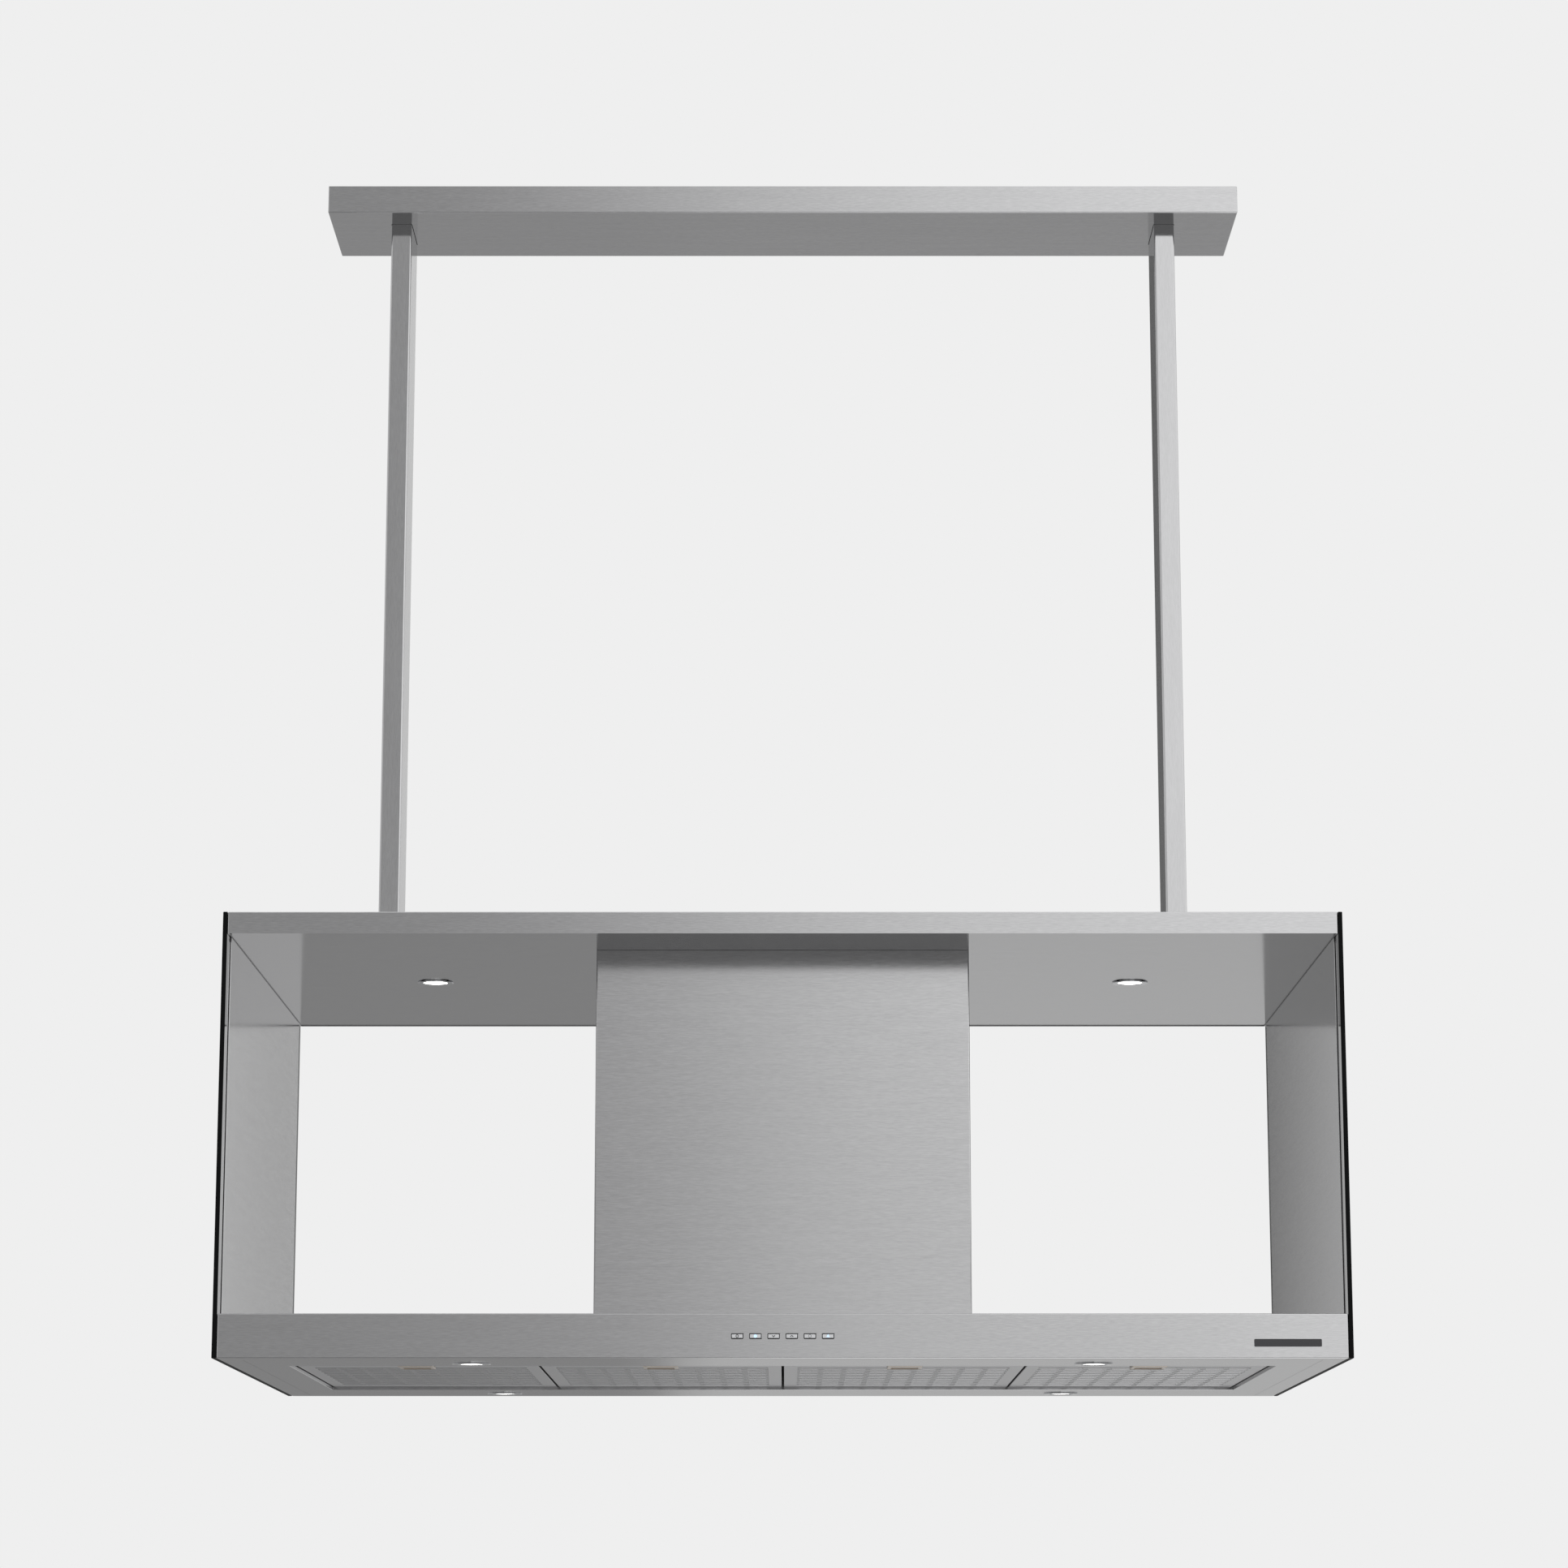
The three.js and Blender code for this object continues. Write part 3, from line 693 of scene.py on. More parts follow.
def spun(
    bm: Mesh, outline: list[tuple[float, float]], centre: Vector, steps: int
) -> None:
    """Turn an outline about a vertical axis into a closed ring or disc.

    Args:
        bm: The mesh that it goes into.
        outline: Radius and height of each corner, from the first to the last.
        centre: The point on the axis that heights are counted from.
        steps: The steps round the full turn.
    """
    corners = [bm.verts.new(centre + Vector((r, 0.0, z))) for r, z in outline]
    edges = [bm.edges.new(pair) for pair in zip(corners, corners[1:])]
    bmesh.ops.spin(
        bm, geom=corners + edges, cent=centre, axis=(0, 0, 1), angle=2 * math.pi,
        steps=steps, use_merge=True)
    bmesh.ops.remove_doubles(bm, verts=bm.verts, dist=MERGE_GAP / 2)
    bmesh.ops.recalc_face_normals(bm, faces=bm.faces)


# ---------------------------------------------------------------------------
# Sub-assemblies
# ---------------------------------------------------------------------------


@dataclass
class CeilingParts:
    """Cover, bracket and terminal box against the ceiling."""

    bend: float = 1.2 * MM

    def build(self) -> None:
        """Round the cover's folds and dress what it hides."""
        folded("ceiling_cover", STEEL, self.bend)
        dress("ceiling_bracket", ZINC)
        dress("terminal_box", PLASTIC)
        dress("internal_harness", SHEATH)


@dataclass
class Posts:
    """The two rectangular tubes that carry the hood."""

    corner: float = 0.5 * MM
    rim: float = 0.3 * MM

    def build(self) -> None:
        """Smooth the tubes' corners and dress their flanges."""
        for side in ("left", "right"):
            folded(f"{side}_post", STEEL_POST, self.corner, self.rim)
            dress(f"{side}_post_top_flange", ZINC)
            dress(f"{side}_post_foot", ZINC)


@dataclass
class Shelf:
    """The flat box under the posts, with the air outlet in its top."""

    bend: float = 1.1 * MM
    grille_bend: float = 0.6 * MM
    grille_rim: float = 0.25 * MM

    def build(self) -> None:
        """Round the folds and dress the frame inside."""
        folded("shelf_shell", STEEL, self.bend)
        folded("shelf_underside_pan", STEEL, self.bend)
        folded("outlet_grille", STEEL, self.grille_bend, self.grille_rim)
        dress("shelf_frame", ZINC)
        dress("outlet_plenum", ZINC)


@dataclass
class Sides:
    """Black glass outside, steel liner inside.

    A face of the glass whose normal's X is above flat is polished; the others are ground.
    """

    bend: float = 1.0 * MM
    arris: float = 0.3 * MM
    arris_steps: int = 2
    flat: float = 0.95
    edge_angle: float = math.radians(20)

    def build(self) -> None:
        """Round the liners and grind the glass edges."""
        for side in ("left", "right"):
            folded(f"{side}_side_liner", STEEL_SIDE, self.bend)
            self.glass(side)

    def glass(self, side: str) -> bpy.types.Object:
        """Soften the ground edges of one panel.

        Args:
            side: "left" or "right".

        Returns:
            The piece.
        """
        node = f"{side}_glass_panel"
        bm = whole_copy(node)
        edges = [e for e in bm.edges if e.calc_face_angle(0.0) > self.edge_angle]
        round_edges(bm, edges, self.arris, self.arris_steps)
        for face in bm.faces:
            face.material_index = 0 if abs(face.normal.x) > self.flat else 1
        panel = show(f"{node}_polished", bm, GLASS, "root", (node,))
        panel.data.materials.append(GROUND_EDGE.material())
        return panel


@dataclass
class Column:
    """The two covers round the blower, and the blower itself."""

    bend: float = 1.4 * MM
    rim: float = 0.3 * MM
    top_gap: float = 0.2 * MM
    zinc_nodes: tuple[str, ...] = ("blower_housing", "motor_bracket", "impeller")

    def build(self) -> None:
        """Make the covers and dress the blower."""
        for half in ("front", "rear"):
            self.cover(f"column_{half}_cover")
        for node in self.zinc_nodes:
            dress(node, ZINC)
        dress("motor", MOTOR_ENAMEL)
        dress("impeller_shaft", CHROME)
        for side in ("left", "right"):
            dress(f"charcoal_filter_{side}", CARBON)

    def cover(self, node: str) -> bpy.types.Object:
        """Round one cover's bends and let its top edge reach into the pan above it.

        Args:
            node: The frame's node.

        Returns:
            The piece.
        """
        bm = whole_copy(node)
        top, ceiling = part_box(node)[1].z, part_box("shelf_underside_pan")[0].z
        for vert in bm.verts:
            if vert.co.z > top - self.top_gap:
                vert.co.z = ceiling - self.top_gap
        fold_edges(bm, self.bend, self.rim)
        return show(f"{node}_sheet", bm, STEEL, frame["nodes"][node]["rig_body"], (node,))


@dataclass
class Canopy:
    """The flat body with its underside pan, and the electrical parts inside."""

    bend: float = 1.1 * MM
    mouth_bend: float = 0.5 * MM

    def build(self) -> None:
        """Round the folds, those of the filters' mouth tightly, and dress the parts inside."""
        folded("canopy_shell", STEEL, self.bend)
        folded("canopy_underside_pan", STEEL, self.mouth_bend)
        dress("power_unit", ZINC)
        dress("control_board", SOLDER_MASK)


@dataclass
class GreaseFilter:
    """One filter cassette: a slotted face, bridges across its slots, slanted baffles
    behind them and the metal mesh that catches the grease."""

    number: int
    columns: int = 9
    column_pitch: float = 26.0 * MM
    bridge: float = 6.0 * MM
    rows: int = 11
    row_pitch: float = 30.0 * MM
    first_row: float = -120.0 * MM
    slot_length: float = 15.0 * MM
    sheet: float = 1.2 * MM
    recess: float = 0.9 * MM
    lip: float = 1.3 * MM
    lip_steps: int = 10
    lip_sharp: float = 60.0
    bend: float = 1.0 * MM
    rim: float = 0.3 * MM
    baffle_width: float = 30.0 * MM
    baffle_sheet: float = 0.8 * MM
    baffle_tilt: float = 0.16
    baffle_height: float = 4.6 * MM
    baffle_inset: float = 3.0 * MM
    mesh_inset: float = 2.0 * MM
    mesh_depth: float = 3.5 * MM
    mesh_below_rim: float = 0.8 * MM
    latch_bend: float = 0.6 * MM

    @property
    def body(self) -> str:
        """The body that the cassette swings with."""
        return f"grease_filter_{self.number}"

    def build(self) -> None:
        """Make the frame, the bridges, the lips, the baffles, the mesh and the latch."""
        folded(self.body, FILTER_STEEL, self.bend, self.rim, halved=True)
        self.bridges()
        self.lips()
        self.baffles()
        self.mesh()
        self.latch()

    def face_height(self) -> float:
        """Return the height of the face's lower side."""
        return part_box(self.body)[0].z

    def bridges(self) -> None:
        """Lay narrow strips behind the face, which part each row into short slots."""
        bm = bmesh.new()
        face, middle = self.face_height(), centre_of(self.body)
        front = self.first_row - self.slot_length
        back = self.first_row + (self.rows - 1) * self.row_pitch + self.slot_length
        for i in range(1, self.columns):
            x = middle.x + (i - self.columns / 2) * self.column_pitch
            block(
                bm, (x - self.bridge / 2, front, face + self.recess),
                (x + self.bridge / 2, back, face + self.recess + self.sheet))
        show(f"{self.body}_bridges", bm, FILTER_STEEL, self.body)

    def lips(self) -> None:
        """Roll the rear edge of every slot down into a small half-round lip."""
        bm = bmesh.new()
        face, middle = self.face_height(), centre_of(self.body)
        length = self.column_pitch - self.bridge
        height = face + self.lip / 3
        lie = Matrix.Rotation(math.pi / 2, 4, "Y")
        for i in range(self.rows):
            y = self.first_row + i * self.row_pitch + self.slot_length / 2 + self.lip / 2
            for j in range(self.columns):
                x = middle.x + (j - (self.columns - 1) / 2) * self.column_pitch
                bmesh.ops.create_cone(
                    bm, cap_ends=True, segments=self.lip_steps, radius1=self.lip,
                    radius2=self.lip, depth=length,
                    matrix=Matrix.Translation((x, y, height)) @ lie)
        show(f"{self.body}_lips", bm, FILTER_STEEL, self.body, sharp=self.lip_sharp)

    def baffles(self) -> None:
        """Stand a slanted strip over each row of slots."""
        bm = bmesh.new()
        low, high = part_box(self.body)
        half_width, half_sheet = self.baffle_width / 2, self.baffle_sheet / 2
        slant = Matrix.Rotation(self.baffle_tilt, 3, "X")
        for i in range(self.rows):
            y = self.first_row + i * self.row_pitch
            verts = block(
                bm, (low.x + self.baffle_inset, y - half_width, -half_sheet),
                (high.x - self.baffle_inset, y + half_width, half_sheet))
            bmesh.ops.rotate(bm, verts=verts, cent=(0, y, 0), matrix=slant)
            bmesh.ops.translate(bm, verts=verts, vec=(0, 0, low.z + self.baffle_height))
        show(f"{self.body}_baffles", bm, FILTER_STEEL, self.body)

    def mesh(self) -> None:
        """Lay the metal mesh over the baffles."""
        low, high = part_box(self.body)
        inset = Vector((self.mesh_inset, self.mesh_inset, 0))
        bm = bmesh.new()
        block(
            bm, Vector((low.x, low.y, high.z - self.mesh_depth)) + inset,
            Vector((high.x, high.y, high.z - self.mesh_below_rim)) - inset)
        show(f"{self.body}_mesh", bm, FILTER_MESH, self.body)

    def latch(self) -> None:
        """Round the latch's thumb plate."""
        folded(f"filter_latch_{self.number}", LATCH_BRASS, self.latch_bend, self.rim)


@dataclass
class Lamp:
    """One round lamp: a can with a chrome ring, and a frosted, lit lens in its bore."""

    number: int
    steps: int = 48
    bore: float = 14.0 * MM
    can: float = 16.5 * MM
    seat: float = 8.0 * MM
    lip: float = 1.2 * MM
    soft: float = 0.3 * MM
    crown: float = 1.0 * MM
    top_bend: float = 3.0 * MM
    dome: float = 0.8 * MM
    dome_steps: int = 6
    sharp: float = 40.0

    def build(self) -> None:
        """Turn the ring and the lens."""
        self.ring()
        self.lens()

    def measure(self, node: str) -> tuple[Vector, float, float]:
        """Measure the round part that a node stands for.

        Args:
            node: The frame's node.

        Returns:
            The middle of its underside, its radius and its height.
        """
        low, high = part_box(node)
        centre = Vector(((low.x + high.x) / 2, (low.y + high.y) / 2, low.z))
        return centre, (high.x - low.x) / 2, high.z - low.z

    def ring(self) -> None:
        """Turn the can and its rolled ring."""
        node = f"lamp_housing_{self.number}"
        centre, radius, height = self.measure(node)
        seat = height - self.seat
        outline = [
            (0.0, seat), (self.bore, seat), (self.bore, self.crown),
            (self.bore + self.soft, self.soft), (self.bore + self.lip, 0.0),
            (radius - self.crown, 0.0), (radius - self.soft, 0.25 * self.crown),
            (radius, 0.8 * self.crown), (radius, self.lip), (self.can, self.lip),
            (self.can, height - 2 * self.crown), (self.can - self.top_bend, height),
            (0.0, height),
        ]
        bm = bmesh.new()
        spun(bm, outline, centre, self.steps)
        show(f"{node}_turned", bm, CHROME, "root", (node,), self.sharp)

    def lens(self) -> None:
        """Turn the lens, a little domed."""
        node = f"lamp_lens_{self.number}"
        centre, radius, height = self.measure(node)
        turns = (i / self.dome_steps * math.pi / 2 for i in range(self.dome_steps + 1))
        dome = [(radius * math.sin(a), self.dome * (1 - math.cos(a))) for a in turns]
        bm = bmesh.new()
        spun(bm, [*dome, (radius, height), (0.0, height)], centre, self.steps)
        show(f"{node}_domed", bm, DIFFUSER, "root", (node,), self.sharp)


@dataclass
class Screws:
    """Low pan-head screws with a round socket, where covers come off for service."""

    head: float = 3.5 * MM
    height: float = 0.9 * MM
    taper: float = 0.8
    socket: float = 1.6 * MM
    socket_depth: float = 0.7
    inset: float = 14.0 * MM
    steps: int = 24
    sharp: float = 35.0

    def build(self) -> None:
        """Set two screws in each end of the ceiling cover and four in the rear column cover."""
        low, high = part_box("ceiling_cover")
        for side, x, way in (("left", low.x, -1), ("right", high.x, 1)):
            bm = bmesh.new()
            for y in (low.y / 2, high.y / 2):
                self.screw(bm, Vector((x, y, (low.z + high.z) / 2)), Vector((way, 0, 0)))
            show(f"cover_screws_{side}", bm, CHROME, "root", sharp=self.sharp)
        low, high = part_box("column_rear_cover")
        bm = bmesh.new()
        for x in (low.x + self.inset, high.x - self.inset):
            for z in (low.z + 2 * self.inset, high.z - 2 * self.inset):
                self.screw(bm, Vector((x, high.y, z)), Vector((0, 1, 0)))
        show("column_screws", bm, CHROME, "root", sharp=self.sharp)

    def screw(self, bm: Mesh, place: Vector, way: Vector) -> None:
        """Turn one head, sink its socket and stand it on a face.

        Args:
            bm: The mesh that it goes into.
            place: The middle of its seat.
            way: The direction that it looks in.
        """
        one = bmesh.new()
        bmesh.ops.create_cone(
            one, cap_ends=True, segments=self.steps, radius1=self.head,
            radius2=self.head * self.taper, depth=self.height,
            matrix=Matrix.Translation((0, 0, self.height / 2)))
        top = max(one.faces, key=lambda f: f.calc_center_median().z)
        rim = self.head * self.taper - self.socket
        bmesh.ops.inset_region(one, faces=[top], thickness=rim)
        top = max(one.faces, key=lambda f: (f.calc_center_median().z, -f.calc_area()))
        bmesh.ops.translate(one, verts=top.verts, vec=(0, 0, -self.height * self.socket_depth))
        turn = way.to_track_quat("Z", "Y").to_matrix().to_4x4()
        bmesh.ops.transform(one, matrix=Matrix.Translation(place) @ turn, verts=one.verts)
        kept = bpy.data.meshes.new("one screw")
        one.to_mesh(kept)
        one.free()
        bm.from_mesh(kept)
        bpy.data.meshes.remove(kept)


class Icon(Enum):
    """The plain signs on the buttons."""

    RING = "ring"
    LIT_DOT = "lit_dot"
    DOWN = "down"
    UP = "up"
    FAINT_RING = "faint_ring"
    LIT_TRIANGLE = "lit_triangle"


@dataclass
class Button:
    """One push button with its sign."""

    number: int
    icon: Icon
    sign: float = 1.7 * MM
    sign_steps: int = 24
    bold_line: float = 0.7 * MM
    fine_line: float = 0.35 * MM
    triangle_share: float = 1.15
    bar_length: float = 1.25
    bar_width: float = 0.8 * MM
    bar_slope: float = 0.7
    bar_offset: float = 0.45
    relief: float = 0.06 * MM
    rim: float = 0.8 * MM
    side_rim: float = 0.5 * MM
    corner: float = 0.2 * MM
    face_depth: float = 0.7 * MM

    @property
    def body(self) -> str:
        """The body that the button moves with."""
        return f"button_{self.number}"

    def build(self) -> None:
        """Make the dark body, the steel face let into it, and the sign."""
        bm = whole_copy(self.body)
        low, high = front_box(bm)
        front = low.y + self.relief
        fold_edges(bm, self.corner, self.corner / 2)
        for vert in bm.verts:
            vert.co.y = max(vert.co.y, front + self.relief)
        show(f"{self.body}_cap", bm, PLASTIC, self.body, (self.body,))
        rim = Vector((self.side_rim, 0, self.rim))
        bm = bmesh.new()
        deep = front + self.face_depth
        block(bm, Vector((low.x, front, low.z)) + rim, Vector((high.x, deep, high.z)) - rim)
        fold_edges(bm, self.corner, self.corner)
        show(f"{self.body}_face", bm, BUTTON_STEEL, self.body)
        bm = bmesh.new()
        self.draw_sign(bm)
        middle = Vector(((low.x + high.x) / 2, front, (low.z + high.z) / 2))
        turn = Matrix.Translation(middle) @ Matrix.Rotation(math.pi / 2, 4, "X")
        bmesh.ops.transform(bm, matrix=turn, verts=bm.verts)
        bmesh.ops.recalc_face_normals(bm, faces=bm.faces)
        lit = self.icon in (Icon.LIT_DOT, Icon.LIT_TRIANGLE)
        show(f"{self.body}_sign", bm, BUTTON_LIGHT if lit else BUTTON_PRINT, self.body)

    def draw_sign(self, bm: Mesh) -> None:
        """Draw the sign flat, centred, and raise it a little.

        Args:
            bm: The mesh that it goes into.
        """
        rings = {Icon.RING: self.bold_line, Icon.FAINT_RING: self.fine_line}
        if self.icon in rings:
            self.draw_ring(bm, rings[self.icon])
        elif self.icon is Icon.LIT_DOT:
            bmesh.ops.create_circle(
                bm, cap_ends=True, segments=self.sign_steps, radius=self.sign)
        elif self.icon is Icon.LIT_TRIANGLE:
            reach = self.sign * self.triangle_share
            bmesh.ops.create_circle(bm, cap_ends=True, segments=3, radius=reach)
        else:
            self.draw_chevron(bm, 1 if self.icon is Icon.UP else -1)
        raised = bmesh.ops.extrude_face_region(bm, geom=list(bm.faces))["geom"]
        corners = [v for v in raised if isinstance(v, bmesh.types.BMVert)]
        bmesh.ops.translate(bm, verts=corners, vec=(0, 0, self.relief))

    def draw_ring(self, bm: Mesh, width: float) -> None:
        """Draw a flat ring.

        Args:
            bm: The mesh that it goes into.
            width: The width of its line.
        """
        corners = []
        for radius in (self.sign - width, self.sign):
            made = bmesh.ops.create_circle(bm, segments=self.sign_steps, radius=radius)
            corners += made["verts"]
        loops = {e for v in corners for e in v.link_edges}
        bmesh.ops.bridge_loops(bm, edges=list(loops))

    def draw_chevron(self, bm: Mesh, way: int) -> None:
        """Draw two slanted bars that meet at a point.

        Args:
            bm: The mesh that they go into.
            way: 1 for a point at the top, -1 for one at the bottom.
        """
        size = (self.sign * self.bar_length, self.bar_width, 1)
        for side in (-1, 1):
            verts = bmesh.ops.create_grid(bm, x_segments=1, y_segments=1, size=0.5)["verts"]
            slope = Matrix.Rotation(-side * way * self.bar_slope, 3, "Z")
            bmesh.ops.scale(bm, vec=size, verts=verts)
            bmesh.ops.rotate(bm, verts=verts, matrix=slope)
            bmesh.ops.translate(
                bm, verts=verts, vec=(side * self.sign * self.bar_offset, 0, 0))


@dataclass
class Badge:
    """A plain dark badge; it carries no mark."""

    rim: float = 0.25 * MM

    def build(self) -> None:
        """Round the badge's edge."""
        folded("blank_badge", BADGE_ENAMEL, self.rim, self.rim)


# ---------------------------------------------------------------------------
# Studio
# ---------------------------------------------------------------------------


@dataclass
class Studio:
    """Pale floor, soft surroundings that brighten to the right, and the camera.

    The hood mirrors its surroundings, so they are given by direction: ahead is the room in
    front of it and behind the room at its back, each from left to right, and high, level,
    low and deep say how steeply the direction points up or down. A span gives the part of
    the direction over which one passes into the next.
    """

    floor_level: float = -3.0
    floor_size: float = 60.0
    fade_from: float = 4.0
    fade_to: float = 16.0
    backdrop: str = "#efefef"
    camera_place: Vector = field(default_factory=lambda: Vector((0.0014, -4.809, -1.6783)))
    camera_tilt: float = 11.473
    lens: float = 96.83
    ahead_high: Stops = (
        (-1.0, 0.85), (-0.4, 0.80), (-0.2, 0.46), (-0.12, 0.43), (-0.08, 0.43), (-0.035, 0.69),
        (0.0, 0.93), (0.035, 1.09), (0.075, 1.22), (0.12, 1.28), (1.0, 1.28),
    )
    ahead_level: Stops = (
        (-1.0, 0.85), (-0.4, 0.80), (-0.2, 0.46), (-0.12, 0.44), (-0.066, 0.53), (-0.035, 0.56),
        (0.0, 0.83), (0.02, 0.91), (0.066, 0.97), (0.1, 1.05), (0.13, 1.24), (1.0, 1.28),
    )
    behind_high: Stops = (
        (-1.0, 0.85), (-0.3, 0.80), (-0.16, 0.72), (-0.135, 0.72), (-0.12, 0.26),
        (-0.11, 0.03), (-0.05, 0.03), (0.0, 0.40), (0.05, 1.10), (0.094, 1.10),
        (0.1, 0.18), (0.114, 0.18), (0.13, 0.66), (0.15, 0.78), (1.0, 0.9),
    )
    behind_low: Stops = (
        (-1.0, 0.7), (-0.3, 0.55), (-0.16, 0.31), (-0.033, 0.32), (-0.02, 0.61), (1.0, 0.63),
    )
    below: Stops = (
        (-1.0, 0.8), (-0.3, 0.7), (-0.15, 0.36), (-0.03, 0.38), (0.0, 1.5), (1.0, 1.5),
    )
    above: float = 1.25
    behind_deep: float = 0.43
    ahead_low: float = 0.24
    deep_span: Span = (-0.31, -0.19)
    horizon_span: Span = (-0.03, 0.03)
    high_span: Span = (0.09, 0.21)
    ahead_low_span: Span = (-0.06, 0.03)
    side_span: Span = (-0.1, 0.1)
    above_span: Span = (0.6, 0.85)
    below_span: Span = (-0.85, -0.45)
    box_size: float = 4.0
    box_power: float = 75.0
    box_place: tuple[float, float, float] = (0.6, -0.4, 2.4)
    sensor: float = 36.0
    sight: float = 200.0

    def build(self) -> None:
        """Make the floor, the surroundings, the light and the camera."""
        self.floor()
        self.surroundings()
        self.soft_box()
        self.camera()
        bpy.context.scene.view_settings.view_transform = "Standard"

    def floor(self) -> None:
        """Lay a wide plain floor."""
        bm = bmesh.new()
        place = Matrix.Translation((0, 0, self.floor_level))
        bmesh.ops.create_grid(
            bm, x_segments=8, y_segments=8, size=self.floor_size / 2, matrix=place)
        mesh = bpy.data.meshes.new("floor")
        bm.to_mesh(mesh)
        bm.free()
        mesh.materials.append(FLOOR_PAINT.material())
        self.fade(mesh.materials[0].node_tree)
        floor = bpy.data.objects.new("floor", mesh)
        bpy.context.scene.collection.objects.link(floor)
        floor.visible_glossy = False

    def fade(self, tree: Tree) -> None:
        """Let the floor fade out far away, and leave the view from under it free.

        Args:
            tree: The floor material's node tree.
        """
        place = add_node(tree, "ShaderNodeTexCoord").outputs["Object"]
        away = add_node(tree, "ShaderNodeVectorMath", {0: place}, operation="LENGTH")
        far = add_node(tree, "ShaderNodeMapRange", {
            "Value": away.outputs["Value"], "From Min": self.fade_from, "From Max": self.fade_to,
        }, interpolation_type="SMOOTHSTEP").outputs["Result"]
        under = add_node(tree, "ShaderNodeNewGeometry").outputs["Backfacing"]
        clear = add_node(tree, "ShaderNodeMath", {0: far, 1: under}, operation="MAXIMUM")
        shader = next(n for n in tree.nodes if n.type == "BSDF_PRINCIPLED")
        ending = next(n for n in tree.nodes if n.type == "OUTPUT_MATERIAL")
        mixed = add_node(tree, "ShaderNodeMixShader", {
            0: clear.outputs[0], 1: shader.outputs["BSDF"],
            2: add_node(tree, "ShaderNodeBsdfTransparent").outputs["BSDF"],
        })
        tree.links.new(mixed.outputs["Shader"], ending.inputs["Surface"])

    def surroundings(self) -> None:
        """Surround the hood with a dim left and a bright right side, behind a pale backdrop."""
        world = bpy.data.worlds.new("studio")
        bpy.context.scene.world = world
        world.use_nodes = True
        tree = world.node_tree
        tree.nodes.clear()
        way = add_node(tree, "ShaderNodeTexCoord").outputs["Generated"]
        x, y, z = add_node(tree, "ShaderNodeSeparateXYZ", {"Vector": way}).outputs
        low = self.ramp(tree, x, self.behind_low)
        low = self.blend(tree, z, self.deep_span, self.behind_deep, low)
        high = self.ramp(tree, x, self.behind_high)
        behind = self.blend(tree, z, self.horizon_span, low, high)
        ahead_level = self.ramp(tree, x, self.ahead_level)
        ahead_high = self.ramp(tree, x, self.ahead_high)
        ahead = self.blend(tree, z, self.high_span, ahead_level, ahead_high)
        ahead = self.blend(tree, z, self.ahead_low_span, self.ahead_low, ahead)
        level = self.blend(tree, y, self.side_span, ahead, behind)
        level = self.blend(tree, z, self.above_span, level, self.above)
        below = self.ramp(tree, x, self.below)
        around = add_node(tree, "ShaderNodeBackground", {
            "Strength": self.blend(tree, z, self.below_span, below, level),
        })
        seen = add_node(tree, "ShaderNodeLightPath").outputs["Is Camera Ray"]
        backdrop = add_node(tree, "ShaderNodeBackground", {
            "Color": srgb(self.backdrop), "Strength": 1.0,
        })
        mixed = add_node(tree, "ShaderNodeMixShader", {
            0: seen, 1: around.outputs["Background"], 2: backdrop.outputs["Background"],
        })
        add_node(tree, "ShaderNodeOutputWorld", {"Surface": mixed.outputs["Shader"]})

    def ramp(self, tree: Tree, across: Socket, stops: Stops) -> Socket:
        """Give each direction's X a brightness.

        Args:
            tree: The world's node tree.
            across: The direction's X, from -1 to 1.
            stops: X and brightness pairs, from left to right.

        Returns:
            The socket that carries the brightness.
        """
        place = add_node(tree, "ShaderNodeMapRange", {"Value": across, "From Min": -1.0})
        node = add_node(tree, "ShaderNodeValToRGB", {"Fac": place.outputs["Result"]})
        elements = node.color_ramp.elements
        for _ in range(len(stops) - 2):
            elements.new(0.5)
        for element, (x, level) in zip(elements, stops):
            element.position = (x + 1) / 2
            element.color = (level, level, level, 1)
        return node.outputs["Color"]

    def blend(
        self, tree: Tree, along: Socket, span: Span, first: float | Socket,
        last: float | Socket,
    ) -> Socket:
        """Pass from one brightness to another while a direction's part crosses a span.

        Args:
            tree: The world's node tree.
            along: The direction's part, from -1 to 1.
            span: Where the passage starts and ends.
            first: The brightness before the span.
            last: The brightness after it.

        Returns:
            The socket that carries the brightness.
        """
        share = add_node(tree, "ShaderNodeMapRange", {
            "Value": along, "From Min": span[0], "From Max": span[1],
        }, interpolation_type="SMOOTHSTEP")
        return add_node(tree, "ShaderNodeMix", {
            0: share.outputs["Result"], 2: first, 3: last,
        }, data_type="FLOAT").outputs[0]

    def soft_box(self) -> None:
        """Hang a wide soft light above, which brightens the floor and the shelf."""
        light = bpy.data.lights.new("soft box", "AREA")
        light.shape = "SQUARE"
        light.size = self.box_size
        light.energy = self.box_power
        lamp = bpy.data.objects.new("soft box", light)
        lamp.location = self.box_place
        lamp.visible_glossy = False
        bpy.context.scene.collection.objects.link(lamp)

    def camera(self) -> None:
        """Stand the camera low in front of the hood, looking a little upwards."""
        data = bpy.data.cameras.new("camera")
        data.sensor_width = self.sensor
        data.lens = self.lens
        data.clip_end = self.sight
        camera = bpy.data.objects.new("camera", data)
        camera.location = self.camera_place
        camera.rotation_euler = (math.radians(90 + self.camera_tilt), 0, 0)
        bpy.context.scene.collection.objects.link(camera)
        bpy.context.scene.camera = camera


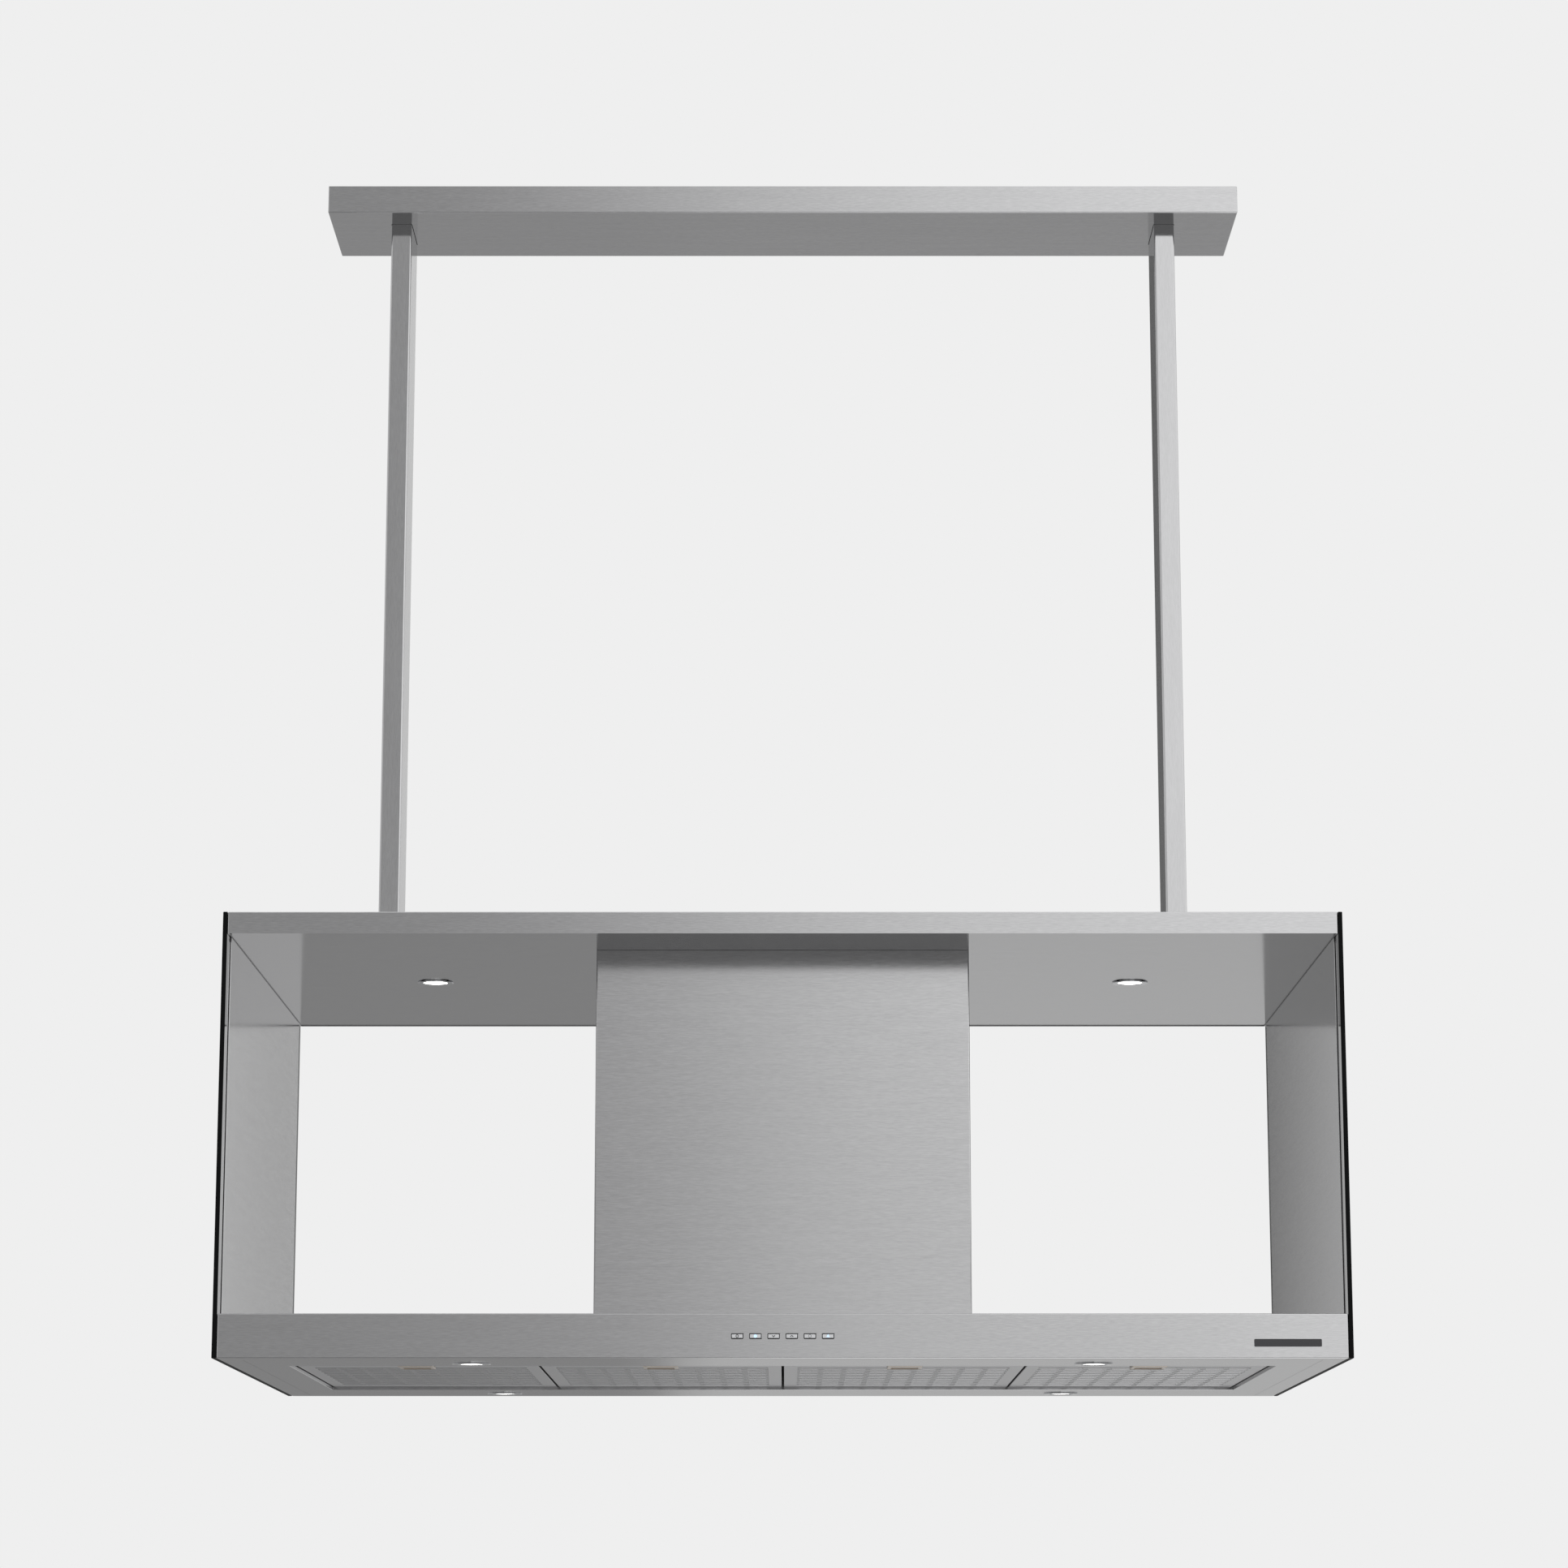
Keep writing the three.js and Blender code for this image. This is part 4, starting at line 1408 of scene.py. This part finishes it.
def main() -> None:
    """Build the studio and every sub-assembly."""
    logging.basicConfig(level=logging.INFO, format="%(message)s")
    icons = [Icon.RING, Icon.LIT_DOT, Icon.DOWN, Icon.UP, Icon.FAINT_RING, Icon.LIT_TRIANGLE]
    parts = [
        Studio(), CeilingParts(), Posts(), Shelf(), Sides(), Column(), Canopy(),
        *(GreaseFilter(n) for n in range(1, FILTERS + 1)),
        *(Lamp(n) for n in range(1, LAMPS + 1)),
        *(Button(n, icon) for n, icon in enumerate(icons, start=1)),
        Badge(), Screws(),
    ]
    for part in parts:
        LOG.info("building %s", part)
        part.build()


if __name__ == "__main__":
    main()
